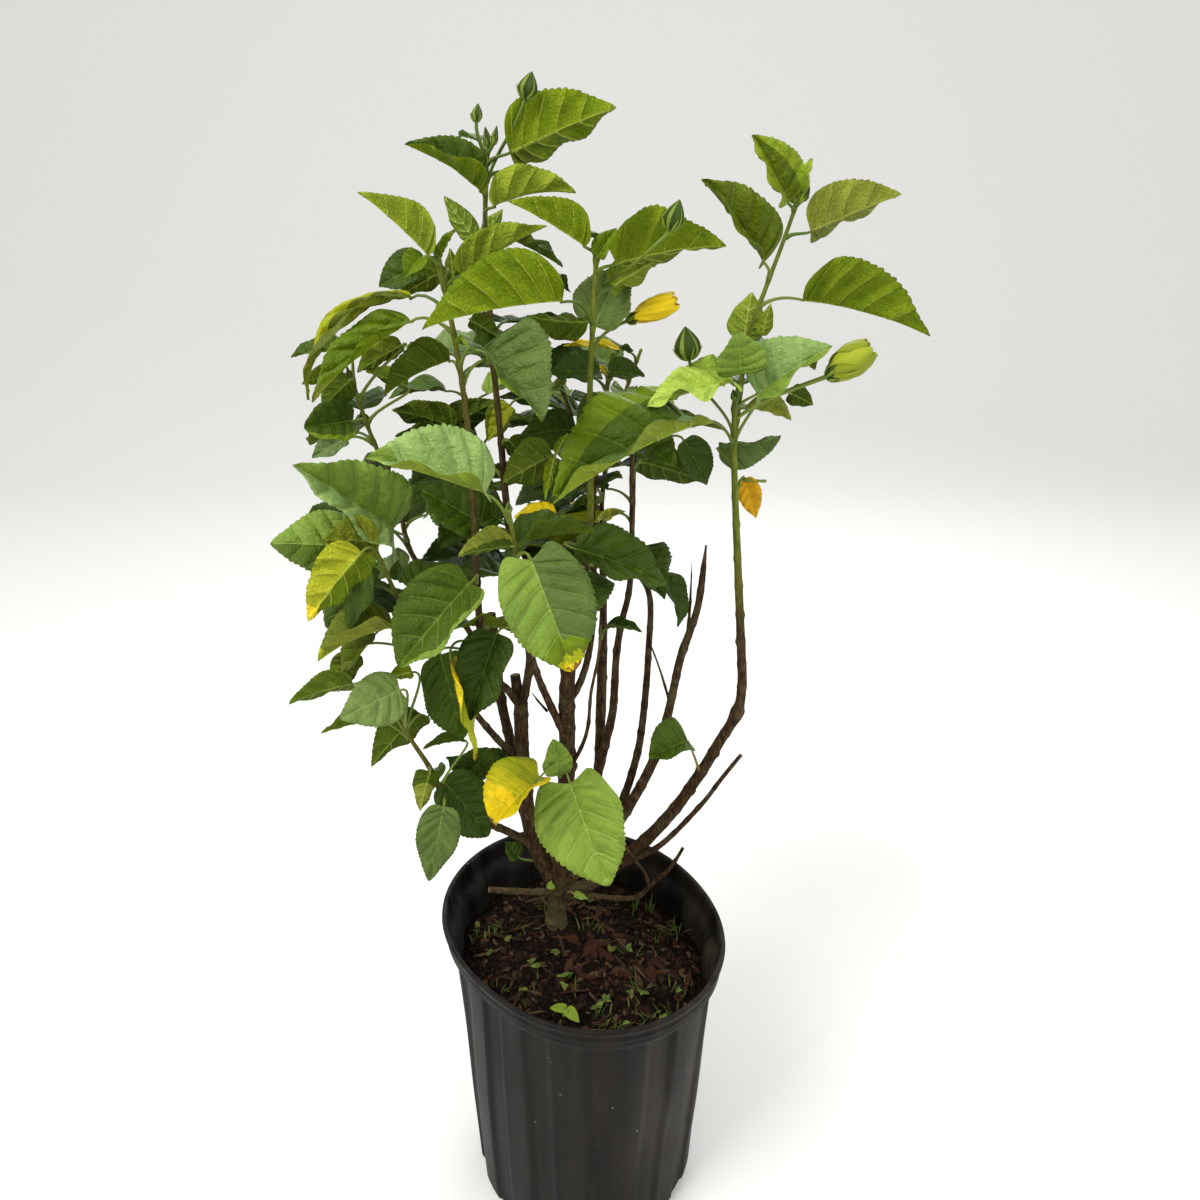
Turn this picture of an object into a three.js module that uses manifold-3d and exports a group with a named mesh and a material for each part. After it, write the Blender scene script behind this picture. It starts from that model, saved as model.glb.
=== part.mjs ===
// A hibiscus shrub growing in its black ribbed nursery pot.
// Millimetres, +Z up. Origin: the middle of the pot's flat underside.
// +X is the plant's right, +Y its back.
//
// Pot, potting soil, a leaning main stem with a flared foot, boughs that are
// each one tapering limb, and masses of leaves that are each one closed,
// uneven solid. Neighbours keep a gap of about half a millimetre.

import * as THREE from 'three';
import Module from 'manifold-3d';
import { mergeVertices } from 'three/addons/utils/BufferGeometryUtils.js';

// ---- driving dimensions -------------------------------------------------
const POT_HEIGHT = 300;
const RIM_RADIUS = 132.8;         // mean outer radius at the lip
const RIM_OVAL = 11;             // the rim is squeezed: +/- this, about OVAL_AZIMUTH
const OVAL_AZIMUTH = 130;        // degrees, direction of the long axis
const RIM_SHIFT = [-2.6, 0.5];   // the lip's centre, off the base's centre
const LIP_OUT = 3.2;             // how far the rolled lip stands off the band
const BAND_DEPTH = 27;           // plain band below the lip
const FLUTES = 14;               // raised ribs, with as many sunk panels between
const FLUTE_DEPTH = 3.4;         // how far a panel is sunk behind its ribs
const RIB_SHARE = 0.50;          // share of one flute's pitch taken by the rib
const BASE_RADIUS = 110;
const BODY_RADIUS_TOP = 123;     // just below the band
const WALL = 2.2;
const FLOOR = 3.0;
const DRAIN_HOLES = 5;
const DRAIN_RADIUS = 7;
const SOIL_TOP = 250;            // height of the soil
const SOIL_EDGE_DROP = 5;        // the soil falls away a little at the wall
const GAP = 0.5;                 // clearance between neighbouring solids
const PLANT_AT = [0, -20];       // where the plant's own x, y zero stands in the pot
const LIMB_SIDES = 6;
const LIMB_STEP = 62;            // mm of limb per section
const TRUNK_SIDES = 10;
const FLARE_HEIGHT = 26;         // root flare above the soil
const FLARE_OUT = 8.5;           // how far the flare stands off the stem

// ---- boughs: one tapering limb each -------------------------------------
// x and y of the limbs and of the leaf masses are off the plant's own zero.
// foot radius, tip radius, then the foot, the bends and the tip.
const MAIN_STEM = {
  foot: 10.5, tip: 7.2,
  way: [[-29, 58, 250.3], [-27, 54, 292], [-17, 42, 400], [-12, 33, 470], [-12, 27, 530]],
};
const BOUGHS = {
  centre_leader: { foot: 6.8, tip: 2.2, way: [[-12, 27, 530], [-6, 20, 590], [6, 4, 690], [10, -12, 800], [12, -18, 850]] },
  left_bough: { foot: 7.5, tip: 6.2, way: [[-27, 54, 306], [-44, 50, 348], [-52, 46, 404], [-55, 42, 466], [-54, 38, 514]] },
  left_bough_tall_shoot: { foot: 4.4, tip: 1.8, way: [[-54, 38, 514], [-45, 34, 564], [-54, 25, 650], [-61, 14, 780], [-62, 8, 860]] },
  left_bough_side_shoot: { foot: 4.0, tip: 1.8, way: [[-54, 38, 514], [-74, 20, 551], [-81, 0, 629], [-79, -14, 720], [-80, -22, 800]] },
  left_bough_cut_stub: { foot: 4.8, tip: 4.2, way: [[-55, 40, 510], [-58, 43, 541]] },
  cut_bough: { foot: 5.2, tip: 4.2, way: [[-47, 50, 352], [-58, 58, 402], [-67, 62, 459], [-75, 55, 540], [-78, 50, 595]] },
  cut_bough_side_shoot: { foot: 3.2, tip: 1.6, way: [[-75, 58, 516], [-107, 47, 600], [-141, 40, 661], [-156, 36, 740]] },
  left_wing_shoot: { foot: 3.4, tip: 1.6, way: [[-56, 43, 453], [-90, 18, 517], [-115, -10, 590], [-138, -30, 650]] },
  low_left_shoot: { foot: 4.8, tip: 1.6, way: [[-29, 53, 320], [-69, 32, 385], [-105, 2, 430], [-126, -20, 490], [-141, -34, 540]] },
  front_shoot: { foot: 3.8, tip: 1.6, way: [[-14, 34, 484], [-37, 0, 569], [-41, -30, 616], [-43, -60, 668]] },
  centre_right_shoot: { foot: 3.3, tip: 1.6, way: [[-10, 28, 522], [8, 35, 578], [10, 36, 666], [14, 30, 741]] },
  thin_green_shoot: { foot: 2.1, tip: 1.2, way: [[-13, 36, 442], [-1, 27, 477], [6, 18, 510], [14, 6, 575], [16, 0, 607]] },
  back_bough: { foot: 5.6, tip: 2.0, way: [[-25, 54, 318], [6, 84, 384], [17, 96, 547], [5, 108, 660], [-12, 112, 750]] },
  back_bough_right_shoot: { foot: 4.6, tip: 1.8, way: [[9, 87, 392], [27, 75, 489], [40, 72, 607], [44, 88, 720]] },
  centre_right_bough: { foot: 5.0, tip: 1.8, way: [[-24, 54, 312], [40, 71, 425], [58, 61, 560], [48, 43, 680], [42, 36, 730]] },
  right_cut_bough: { foot: 6.2, tip: 2.6, way: [[-24, 54, 305], [35, 62, 377], [74, 50, 490], [91, 40, 584], [100, 30, 662]] },
  right_bough_low: { foot: 7.4, tip: 4.8, way: [[-22, 55, 297], [28, 58, 333], [79, 55, 383], [135, 35, 509]] },
  right_bough_high: { foot: 4.8, tip: 2.2, way: [[135, 35, 509], [132, 28, 570], [128, 22, 640], [119, 14, 730], [114, 9, 780]] },
  right_cut_shoot: { foot: 3.2, tip: 1.9, way: [[36, 58, 326], [71, 50, 355], [107, 40, 408], [125, 37, 440], [141, 34, 466]] },
  low_right_twig: { foot: 3.3, tip: 1.6, way: [[-24, 54, 291], [5, 45, 300], [47, 35, 306], [81, 30, 345], [92, 30, 368]] },
  low_right_twig_fork: { foot: 1.9, tip: 1.2, way: [[63, 31, 322], [56, 30, 341], [38, 30, 370]] },
  low_left_cut_stub: { foot: 3.6, tip: 3.0, way: [[-28, 55, 296], [-53, 46, 304], [-91, 40, 311]] },
  low_left_shoot_top: { foot: 2.4, tip: 1.6, way: [[-108, -2, 462], [-122, -16, 494], [-140, -32, 524]] },
  right_top_shoot: { foot: 2.4, tip: 1.6, way: [[114, 10, 786], [119, 9, 826], [124, 6, 856], [130, 4, 884]] },
  bud_stalk: { foot: 1.3, tip: 1.1, way: [[140, 8, 790], [168, -8, 800], [190, -14, 809]] },
  back_left_bough: { foot: 4.8, tip: 2.0, way: [[-27, 57, 308], [-18, 84, 385], [-27, 126, 536], [-66, 146, 640], [-93, 154, 710]] },
  back_right_bough: { foot: 4.2, tip: 2.0, way: [[6, 86, 376], [17, 122, 451], [19, 143, 570], [26, 158, 700]] },
};

// ---- leaf masses --------------------------------------------------------
// middle, half sizes, lean in the XZ plane (degrees), and the leaf tips that
// stand out furthest. The surface swells out to each tip.
const MASSES = {
  leaves_centre: { at: [14, -26, 752], half: [60, 38, 54], lean: 30, tips: [[-57, -78, 722], [-49, 10, 696], [84, -20, 800], [-52, 12, 826]] },
  leaves_upper_middle: { at: [38, -6, 866], half: [68, 36, 40], lean: -8, tips: [[-38, -35, 912], [98, -12, 899], [36, 8, 812], [80, 22, 880]] },
  leaves_top: { at: [-38, -5, 936], half: [58, 30, 36], lean: 0, tips: [[26, 8, 973], [-108, -30, 948], [-30, -4, 990], [-92, -6, 916]] },
  leaves_upper_left: { at: [-84, -24, 860], half: [50, 34, 44], lean: 10, tips: [[-135, -50, 921], [-130, -42, 800], [-22, -40, 902], [-141, -12, 866]] },
  leaves_upper_front: { at: [-56, -72, 830], half: [46, 28, 40], lean: -30, tips: [[-21, -103, 788], [-97, -72, 842], [-30, -94, 866]] },
  leaves_left_shoulder: { at: [-158, -12, 790], half: [46, 50, 42], lean: 20, tips: [[-206, 26, 736], [-170, -72, 796], [-196, -15, 750], [-166, 50, 808]] },
  leaves_left_wing: { at: [-170, -20, 656], half: [38, 42, 78], lean: 8, tips: [[-216, -64, 698], [-149, 38, 649], [-200, -45, 750], [-184, 36, 610], [-190, -66, 640]] },
  leaves_lower_left: { at: [-166, -40, 540], half: [42, 27, 38], lean: 10, tips: [[-172, -26, 491], [-224, -50, 564], [-212, -34, 536], [-182, -64, 566]] },
  leaves_low_left_tip: { at: [-108, -12, 446], half: [27, 31, 50], lean: 14, tips: [[-80, 2, 404], [-138, 10, 488], [-131, -42, 387], [-80, 14, 488]] },
  leaves_front_left: { at: [-110, -80, 742], half: [44, 23, 34], lean: -30, tips: [[-164, -96, 758], [-60, -80, 712], [-120, -104, 716]] },
  leaves_front_low: { at: [-92, -32, 584], half: [34, 30, 62], lean: 0, tips: [[-99, -2, 502], [-134, -62, 600], [-80, -58, 512], [-56, -30, 640]] },
  leaves_front_centre: { at: [-32, -80, 668], half: [40, 26, 42], lean: 0, tips: [[14, -44, 700], [-3, -116, 622], [-82, -84, 696], [-72, -74, 640]] },
  leaves_inner_right: { at: [42, 6, 640], half: [38, 32, 34], lean: 0, tips: [[82, 32, 592], [50, 2, 600], [70, -22, 648], [-2, 20, 668]] },
  leaves_right: { at: [104, 14, 764], half: [46, 38, 56], lean: 0, tips: [[46, -32, 786], [139, 25, 687], [98, 62, 706], [162, 40, 764]] },
  leaves_right_hand: { at: [155, 2, 798], half: [20, 24, 26], lean: 0, tips: [[180, 36, 776], [178, -20, 822]] },
  leaves_right_top: { at: [122, -6, 906], half: [44, 30, 40], lean: -38, tips: [[76, -24, 930], [113, -12, 957], [146, 0, 940], [124, 28, 858]] },
  leaves_right_tip: { at: [192, -10, 872], half: [42, 24, 32], lean: -20, tips: [[242, -22, 832], [222, 2, 922], [160, -32, 858]] },
  yellow_bud: { at: [201, -15, 815], half: [17, 11, 11], lean: 30, tips: [[214, -16, 826]] },
  leaves_low_front: { at: [-6, -24, 444], half: [40, 22, 54], lean: 0, tips: [[-70, -42, 446], [-20, -5, 508], [26, -46, 384], [30, -34, 440]] },
  leaves_back_top: { at: [-26, 78, 858], half: [70, 46, 44], lean: -6, tips: [[-104, 84, 872], [56, 92, 882], [-30, 128, 890], [-20, 60, 912]] },
  leaves_back_left: { at: [-108, 112, 768], half: [58, 50, 66], lean: 14, tips: [[-186, 112, 742], [-122, 184, 780], [-150, 96, 834], [-128, 152, 694]] },
  leaves_back_middle: { at: [-6, 146, 752], half: [52, 46, 70], lean: 0, tips: [[-4, 218, 756], [-44, 180, 832], [36, 176, 688], [-46, 150, 680]] },
  leaves_back_right: { at: [92, 112, 758], half: [52, 50, 64], lean: -12, tips: [[172, 122, 748], [110, 184, 764], [134, 92, 836], [96, 150, 682]] },
};
const SMALL_MASSES = ['leaves_right_hand', 'yellow_bud', 'leaves_right_tip', 'leaves_low_left_tip', 'leaves_upper_front', 'leaves_front_left', 'leaves_lower_left'];

// ---- materials ----------------------------------------------------------
const standard = (r, g, b, roughness) => new THREE.MeshStandardMaterial({
  color: new THREE.Color().setRGB(r, g, b, THREE.SRGBColorSpace), roughness, metalness: 0,
});
const POT_BLACK = standard(0.15, 0.15, 0.145, 0.5);
const SOIL_BROWN = standard(0.17, 0.12, 0.09, 0.95);
const BARK = standard(0.33, 0.26, 0.18, 0.85);
const LEAF = standard(0.30, 0.43, 0.18, 0.6);
const BUD_YELLOW = standard(0.78, 0.78, 0.32, 0.6);

// ---- solids -------------------------------------------------------------
const wasm = await Module();
wasm.setup();

function toManifold(geometry) {
  const g = geometry.clone();
  for (const name of Object.keys(g.attributes)) if (name !== 'position') g.deleteAttribute(name);
  const m = mergeVertices(g, 1e-4);
  return new wasm.Manifold(new wasm.Mesh({
    numProp: 3,
    vertProperties: new Float32Array(m.attributes.position.array),
    triVerts: new Uint32Array(m.index.array),
  }));
}

function toGeometry(solid) {
  const mesh = solid.getMesh();
  const n = mesh.vertProperties.length / mesh.numProp;
  const pos = new Float32Array(n * 3);
  for (let i = 0; i < n; i++) for (let k = 0; k < 3; k++) pos[3 * i + k] = mesh.vertProperties[i * mesh.numProp + k];
  const g = new THREE.BufferGeometry();
  g.setAttribute('position', new THREE.BufferAttribute(pos, 3));
  g.setIndex(new THREE.BufferAttribute(new Uint32Array(mesh.triVerts), 1));
  return g;
}

// A closed body through rings of the same number of points, flat ends.
function loft(rings) {
  const n = rings[0].length;
  const pos = [];
  const index = [];
  for (const ring of rings) for (const p of ring) pos.push(p.x, p.y, p.z);
  for (let r = 0; r + 1 < rings.length; r++) {
    for (let i = 0; i < n; i++) {
      const a = r * n + i, b = r * n + (i + 1) % n, c = a + n, d = b + n;
      index.push(a, b, d, a, d, c);
    }
  }
  for (const [ring, flip] of [[0, true], [rings.length - 1, false]]) {
    const mid = new THREE.Vector3();
    for (const p of rings[ring]) mid.add(p);
    mid.divideScalar(n);
    const at = pos.length / 3;
    pos.push(mid.x, mid.y, mid.z);
    for (let i = 0; i < n; i++) {
      const a = ring * n + i, b = ring * n + (i + 1) % n;
      if (flip) index.push(at, b, a); else index.push(at, a, b);
    }
  }
  const g = new THREE.BufferGeometry();
  g.setAttribute('position', new THREE.Float32BufferAttribute(pos, 3));
  g.setIndex(index);
  return g;
}

const onPlant = ([x, y, z]) => [x + PLANT_AT[0], y + PLANT_AT[1], z];
const clamp01 = (v) => Math.min(1, Math.max(0, v));
const smooth = (v) => { const t = clamp01(v); return t * t * (3 - 2 * t); };
const rad = (deg) => deg * Math.PI / 180;

// ---- pot ----------------------------------------------------------------
// Radius of the pot's smooth outside at an angle and a height. It is round at
// the foot and squeezed to an oval at the lip.
function potRadius(angle, z) {
  const up = clamp01(z / POT_HEIGHT);
  const round = BASE_RADIUS + (BODY_RADIUS_TOP - BASE_RADIUS) * clamp01(z / (POT_HEIGHT - BAND_DEPTH))
    + (RIM_RADIUS - BODY_RADIUS_TOP) * smooth((z - (POT_HEIGHT - BAND_DEPTH - 3)) / 12);
  return round + RIM_OVAL * smooth(up) * Math.cos(2 * (angle - rad(OVAL_AZIMUTH)));
}

const POINTS_PER_FLUTE = 4;      // rib edge, rib edge, panel edge, panel edge
function potRing(z, sunk, inset) {
  const ring = [];
  for (let f = 0; f < FLUTES; f++) {
    const pitch = 2 * Math.PI / FLUTES;
    const rib = RIB_SHARE * pitch, slope = 0.07 * pitch;
    const spots = [[0, 0], [rib, 0], [rib + slope, 1], [pitch - slope, 1]];
    for (const [along, down] of spots) {
      const a = f * pitch + along;
      const r = potRadius(a, z) - sunk * FLUTE_DEPTH * down - inset;
      const shift = clamp01(z / POT_HEIGHT);
      ring.push(new THREE.Vector3(r * Math.cos(a) + RIM_SHIFT[0] * shift, r * Math.sin(a) + RIM_SHIFT[1] * shift, z));
    }
  }
  return ring;
}

function potOutside() {
  const bandFoot = POT_HEIGHT - BAND_DEPTH;
  return loft([
    potRing(0, 0, 5), potRing(5, 0.4, 0), potRing(14, 1, 0), potRing(bandFoot - 6, 1, 0), potRing(bandFoot - 1, 0, 0),
    potRing(bandFoot + 9, 0, LIP_OUT), potRing(POT_HEIGHT - 6, 0, LIP_OUT), potRing(POT_HEIGHT - 5, 0, 0), potRing(POT_HEIGHT, 0, 0),
  ]);
}

function potHollow() {
  const bandFoot = POT_HEIGHT - BAND_DEPTH;
  return loft([
    potRing(FLOOR, 1, WALL + 1), potRing(bandFoot - 6, 1, WALL), potRing(bandFoot + 9, 0, WALL + LIP_OUT), potRing(POT_HEIGHT + 5, 0, WALL + LIP_OUT),
  ]);
}

function pot() {
  let solid = toManifold(potOutside()).subtract(toManifold(potHollow()));
  for (let i = 0; i < DRAIN_HOLES; i++) {
    const a = (i + 0.5) * 2 * Math.PI / DRAIN_HOLES;
    const hole = new THREE.CylinderGeometry(DRAIN_RADIUS, DRAIN_RADIUS, 4 * FLOOR, 8);
    hole.rotateX(Math.PI / 2);
    hole.translate((BASE_RADIUS - 32) * Math.cos(a), (BASE_RADIUS - 32) * Math.sin(a), FLOOR / 2);
    solid = solid.subtract(toManifold(hole));
  }
  return solid;
}

// Potting soil: fills the pot's hollow up to its own level.
function soil() {
  return toManifold(loft([
    potRing(FLOOR + GAP, 1, WALL + 1 + GAP),
    potRing(SOIL_TOP - SOIL_EDGE_DROP, 1, WALL + GAP),
    potRing(SOIL_TOP, 1, WALL + GAP + 16),
  ]));
}

// ---- limbs --------------------------------------------------------------
function limb({ foot, tip, way }, sides, grow, flare = false) {
  const curve = new THREE.CatmullRomCurve3(way.map((p) => new THREE.Vector3(...onPlant(p))), false, 'centripetal');
  const length = curve.getLength();
  const steps = Math.max(2, Math.round(length / LIMB_STEP) + 1);
  const cuts = [];
  for (let i = 0; i <= steps; i++) cuts.push(i / steps);
  if (flare) cuts.splice(1, 0, 0.25 * FLARE_HEIGHT / length, 0.6 * FLARE_HEIGHT / length, FLARE_HEIGHT / length);
  const rings = [];
  for (const [k, t] of cuts.entries()) {
    const centre = curve.getPointAt(t);
    const along = flare && k === 0 ? new THREE.Vector3(0, 0, 1) : curve.getTangentAt(t);
    if (grow && k === 0) centre.addScaledVector(along, -grow);
    if (grow && k === cuts.length - 1) centre.addScaledVector(along, grow);
    const side = new THREE.Vector3(0, 1, 0).cross(along).normalize();
    const other = along.clone().cross(side).normalize();
    const ring = [];
    for (let i = 0; i < sides; i++) {
      const a = 2 * Math.PI * i / sides;
      let r = foot + (tip - foot) * Math.pow(t, 0.85) + grow;
      if (flare) {
        const low = Math.max(0, 1 - (t * length) / FLARE_HEIGHT);
        r += FLARE_OUT * low * low * (1 + 0.35 * Math.cos(3 * a + 0.6));
      }
      ring.push(centre.clone().addScaledVector(side, r * Math.cos(a)).addScaledVector(other, r * Math.sin(a)));
    }
    rings.push(ring);
  }
  return toManifold(loft(rings));
}

// ---- leaf masses --------------------------------------------------------
// Smooth unevenness, different for each mass.
function swell(d, seed) {
  return 0.10 * Math.sin(3.1 * d.x + 2.3 * d.y + 1.7 * seed)
    + 0.08 * Math.sin(4.3 * d.y - 3.7 * d.z + 2.9 * seed)
    + 0.07 * Math.sin(5.1 * d.z + 4.1 * d.x - 1.3 * seed);
}

function leafMass({ at, half, lean, tips }, seed, detail, grow) {
  const g = mergeVertices((() => {
    const s = new THREE.IcosahedronGeometry(1, detail);
    s.deleteAttribute('normal'); s.deleteAttribute('uv');
    return s;
  })(), 1e-4);
  const centre = new THREE.Vector3(...onPlant(at));
  const turn = new THREE.Matrix4().makeRotationY(rad(lean));
  const back = turn.clone().invert();
  const size = new THREE.Vector3(...half);
  const p = g.attributes.position;
  // Each tip takes the vertex that points most nearly at it.
  const pulls = tips.map((tip) => {
    const aim = new THREE.Vector3(...onPlant(tip)).sub(centre).applyMatrix4(back).divide(size).normalize();
    let best = 0, most = -2;
    for (let i = 0; i < p.count; i++) {
      const dot = aim.dot(new THREE.Vector3().fromBufferAttribute(p, i));
      if (dot > most) { most = dot; best = i; }
    }
    return { tip: new THREE.Vector3(...onPlant(tip)), aim: new THREE.Vector3().fromBufferAttribute(p, best) };
  });
  for (let i = 0; i < p.count; i++) {
    const d = new THREE.Vector3().fromBufferAttribute(p, i);
    const point = d.clone().multiply(size).multiplyScalar(1 + swell(d, seed)).applyMatrix4(turn).add(centre);
    for (const { tip, aim } of pulls) point.lerp(tip, Math.exp(-(1 - aim.dot(d)) / 0.045));
    if (grow) point.add(point.clone().sub(centre).normalize().multiplyScalar(1.6 * grow));
    p.setXYZ(i, point.x, point.y, point.z);
  }
  return toManifold(g);
}

// ---- assembly -----------------------------------------------------------
// Each solid is cut back from all those made before it.
const shrub = new THREE.Group();
const grownSolids = [];
const touches = (a, b) => {
  const p = a.boundingBox(), q = b.boundingBox();
  return [0, 1, 2].every((k) => p.min[k] < q.max[k] && q.min[k] < p.max[k]);
};

function place(name, material, solid, grown, near = null) {
  let body = solid;
  for (const other of grownSolids) if (touches(body, other)) body = body.subtract(other);
  const pieces = body.decompose();
  let keep = pieces[0];
  if (pieces.length > 1) {
    const score = (piece) => {
      if (!near) return -piece.volume();
      const b = piece.boundingBox();
      return Math.hypot(...[0, 1, 2].map((k) => Math.max(b.min[k] - near[k], 0, near[k] - b.max[k]))) - 1e-6 * piece.volume();
    };
    keep = pieces.reduce((a, b) => (score(b) < score(a) ? b : a));
  }
  const mesh = new THREE.Mesh(toGeometry(keep), material);
  mesh.name = name;
  shrub.add(mesh);
  if (grown) grownSolids.push(grown);
}

place('nursery_pot', POT_BLACK, pot(), null);
place('potting_soil', SOIL_BROWN, soil(), null);
place('main_stem', BARK, limb(MAIN_STEM, TRUNK_SIDES, 0, true), limb(MAIN_STEM, TRUNK_SIDES, GAP, true), onPlant(MAIN_STEM.way[0]));
let seed = 1;
for (const [name, mass] of Object.entries(MASSES)) {
  const detail = SMALL_MASSES.includes(name) ? 1 : 2;
  const material = name === 'yellow_bud' ? BUD_YELLOW : LEAF;
  place(name, material, leafMass(mass, seed, detail, 0), leafMass(mass, seed, detail, GAP));
  seed += 1;
}
for (const [name, bough] of Object.entries(BOUGHS)) {
  place(name, BARK, limb(bough, LIMB_SIDES, 0), limb(bough, LIMB_SIDES, GAP), onPlant(bough.way[0]));
}

export default shrub;
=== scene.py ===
# A hibiscus shrub in its black fluted nursery pot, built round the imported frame.
# Metres, +Z up, origin at the middle of the pot's flat underside.
import math
import random

import bpy
import numpy as np
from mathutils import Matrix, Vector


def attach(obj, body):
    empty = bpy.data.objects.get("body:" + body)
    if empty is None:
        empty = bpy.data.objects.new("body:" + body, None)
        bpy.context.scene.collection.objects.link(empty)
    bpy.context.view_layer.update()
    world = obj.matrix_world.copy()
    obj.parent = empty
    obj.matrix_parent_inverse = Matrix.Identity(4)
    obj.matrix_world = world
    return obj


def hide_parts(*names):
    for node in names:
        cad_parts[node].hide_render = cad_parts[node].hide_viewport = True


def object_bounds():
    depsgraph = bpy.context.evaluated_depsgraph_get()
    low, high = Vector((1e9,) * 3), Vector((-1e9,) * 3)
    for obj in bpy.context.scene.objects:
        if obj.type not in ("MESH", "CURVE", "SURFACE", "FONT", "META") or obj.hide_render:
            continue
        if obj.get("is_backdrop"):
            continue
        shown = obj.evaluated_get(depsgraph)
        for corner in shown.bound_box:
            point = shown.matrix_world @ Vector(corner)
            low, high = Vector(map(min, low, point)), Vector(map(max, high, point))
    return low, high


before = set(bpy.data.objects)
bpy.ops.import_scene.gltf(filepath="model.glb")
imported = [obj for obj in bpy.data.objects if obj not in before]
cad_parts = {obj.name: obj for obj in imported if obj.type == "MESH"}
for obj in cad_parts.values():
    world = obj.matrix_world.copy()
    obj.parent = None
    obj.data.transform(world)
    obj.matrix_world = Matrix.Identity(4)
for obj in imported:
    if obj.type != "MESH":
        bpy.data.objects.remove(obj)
CAD_LO, CAD_HI = (np.array(v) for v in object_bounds())
R = random.Random(7)
NR = np.random.RandomState(7)

# ------------------------------------------------------------------ the view
F, CX, CY = 900.0, 600.0, 600.0  # focal length and middle of a 1200 x 1200 view
PITCH = math.radians(22.3)
PLANT_Y = -0.020  # the plant's own zero, off the pot's axis
CAM = np.array([0.0152, -0.674, 0.897])
FW = np.array([0, math.cos(PITCH), -math.sin(PITCH)])
RT = np.array([1.0, 0, 0])
UP = np.array([0, math.sin(PITCH), math.cos(PITCH)])


def at(px, py, y):
    """The point on the view's line through (px, py) at depth y off the plant's zero."""
    y = y + PLANT_Y
    d = FW + RT * (px - CX) / F + UP * (CY - py) / F
    return CAM + d * ((y - CAM[1]) / d[1])


def at_height(px, py, z):
    d = FW + RT * (px - CX) / F + UP * (CY - py) / F
    return CAM + d * ((z - CAM[2]) / d[2])


def seen(p):
    d = np.asarray(p, float) - CAM
    k = d @ FW
    return np.stack([CX + F * (d @ RT) / k, CY - F * (d @ UP) / k], -1)


def unit(v):
    return v / max(1e-12, np.linalg.norm(v))


# ----------------------------------------------------------------- materials
def lin(c):
    return tuple((v / 12.92 if v <= 0.04045 else ((v + 0.055) / 1.055) ** 2.4) for v in c)


def rgb(r, g, b):
    return lin((r / 255, g / 255, b / 255)) + (1.0,)


def new_mat(name, color, rough=0.5, spec=0.4, sheen=0.0, coat=0.0):
    m = bpy.data.materials.new(name)
    m.use_nodes = True
    b = m.node_tree.nodes["Principled BSDF"]
    b.inputs["Base Color"].default_value = color
    b.inputs["Roughness"].default_value = rough
    b.inputs["Specular IOR Level"].default_value = spec
    b.inputs["Sheen Weight"].default_value = sheen
    b.inputs["Coat Weight"].default_value = coat
    b.inputs["Coat Roughness"].default_value = 0.35
    return m


def link(m, a, b):
    m.node_tree.links.new(a, b)


def node(m, kind, **kw):
    n = m.node_tree.nodes.new(kind)
    for k, v in kw.items():
        setattr(n, k, v)
    return n


def ramp(m, fac, stops):
    n = node(m, "ShaderNodeValToRGB")
    els = n.color_ramp.elements
    while len(els) < len(stops):
        els.new(0.5)
    for e, (p, c) in zip(els, stops):
        e.position, e.color = p, c
    link(m, fac, n.inputs["Fac"])
    return n.outputs["Color"]


def noise(m, vec, scale, detail=4.0, rough=0.55):
    n = node(m, "ShaderNodeTexNoise")
    n.inputs["Scale"].default_value = scale
    n.inputs["Detail"].default_value = detail
    n.inputs["Roughness"].default_value = rough
    link(m, vec, n.inputs["Vector"])
    return n.outputs["Fac"]


def coords(m, kind="Object"):
    return node(m, "ShaderNodeTexCoord").outputs[kind]


def scaled(m, vec, s):
    n = node(m, "ShaderNodeMapping")
    n.inputs["Scale"].default_value = s
    link(m, vec, n.inputs["Vector"])
    return n.outputs["Vector"]


def bump(m, height, strength, dist, under=None):
    n = node(m, "ShaderNodeBump")
    n.inputs["Strength"].default_value = strength
    n.inputs["Distance"].default_value = dist
    link(m, height, n.inputs["Height"])
    if under is not None:
        link(m, under, n.inputs["Normal"])
    return n.outputs["Normal"]


def mixc(m, fac, a, b, kind="MIX"):
    n = node(m, "ShaderNodeMix", data_type="RGBA", blend_type=kind)
    for s, v in ((n.inputs[0], fac), (n.inputs[6], a), (n.inputs[7], b)):
        if isinstance(v, (int, float, tuple)):
            s.default_value = v
        else:
            link(m, v, s)
    return n.outputs[2]


def math_node(m, op, a, b=None):
    n = node(m, "ShaderNodeMath", operation=op)
    for s, v in ((n.inputs[0], a), (n.inputs[1], b)):
        if v is None:
            continue
        if isinstance(v, (int, float)):
            s.default_value = v
        else:
            link(m, v, s)
    return n.outputs[0]


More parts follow.
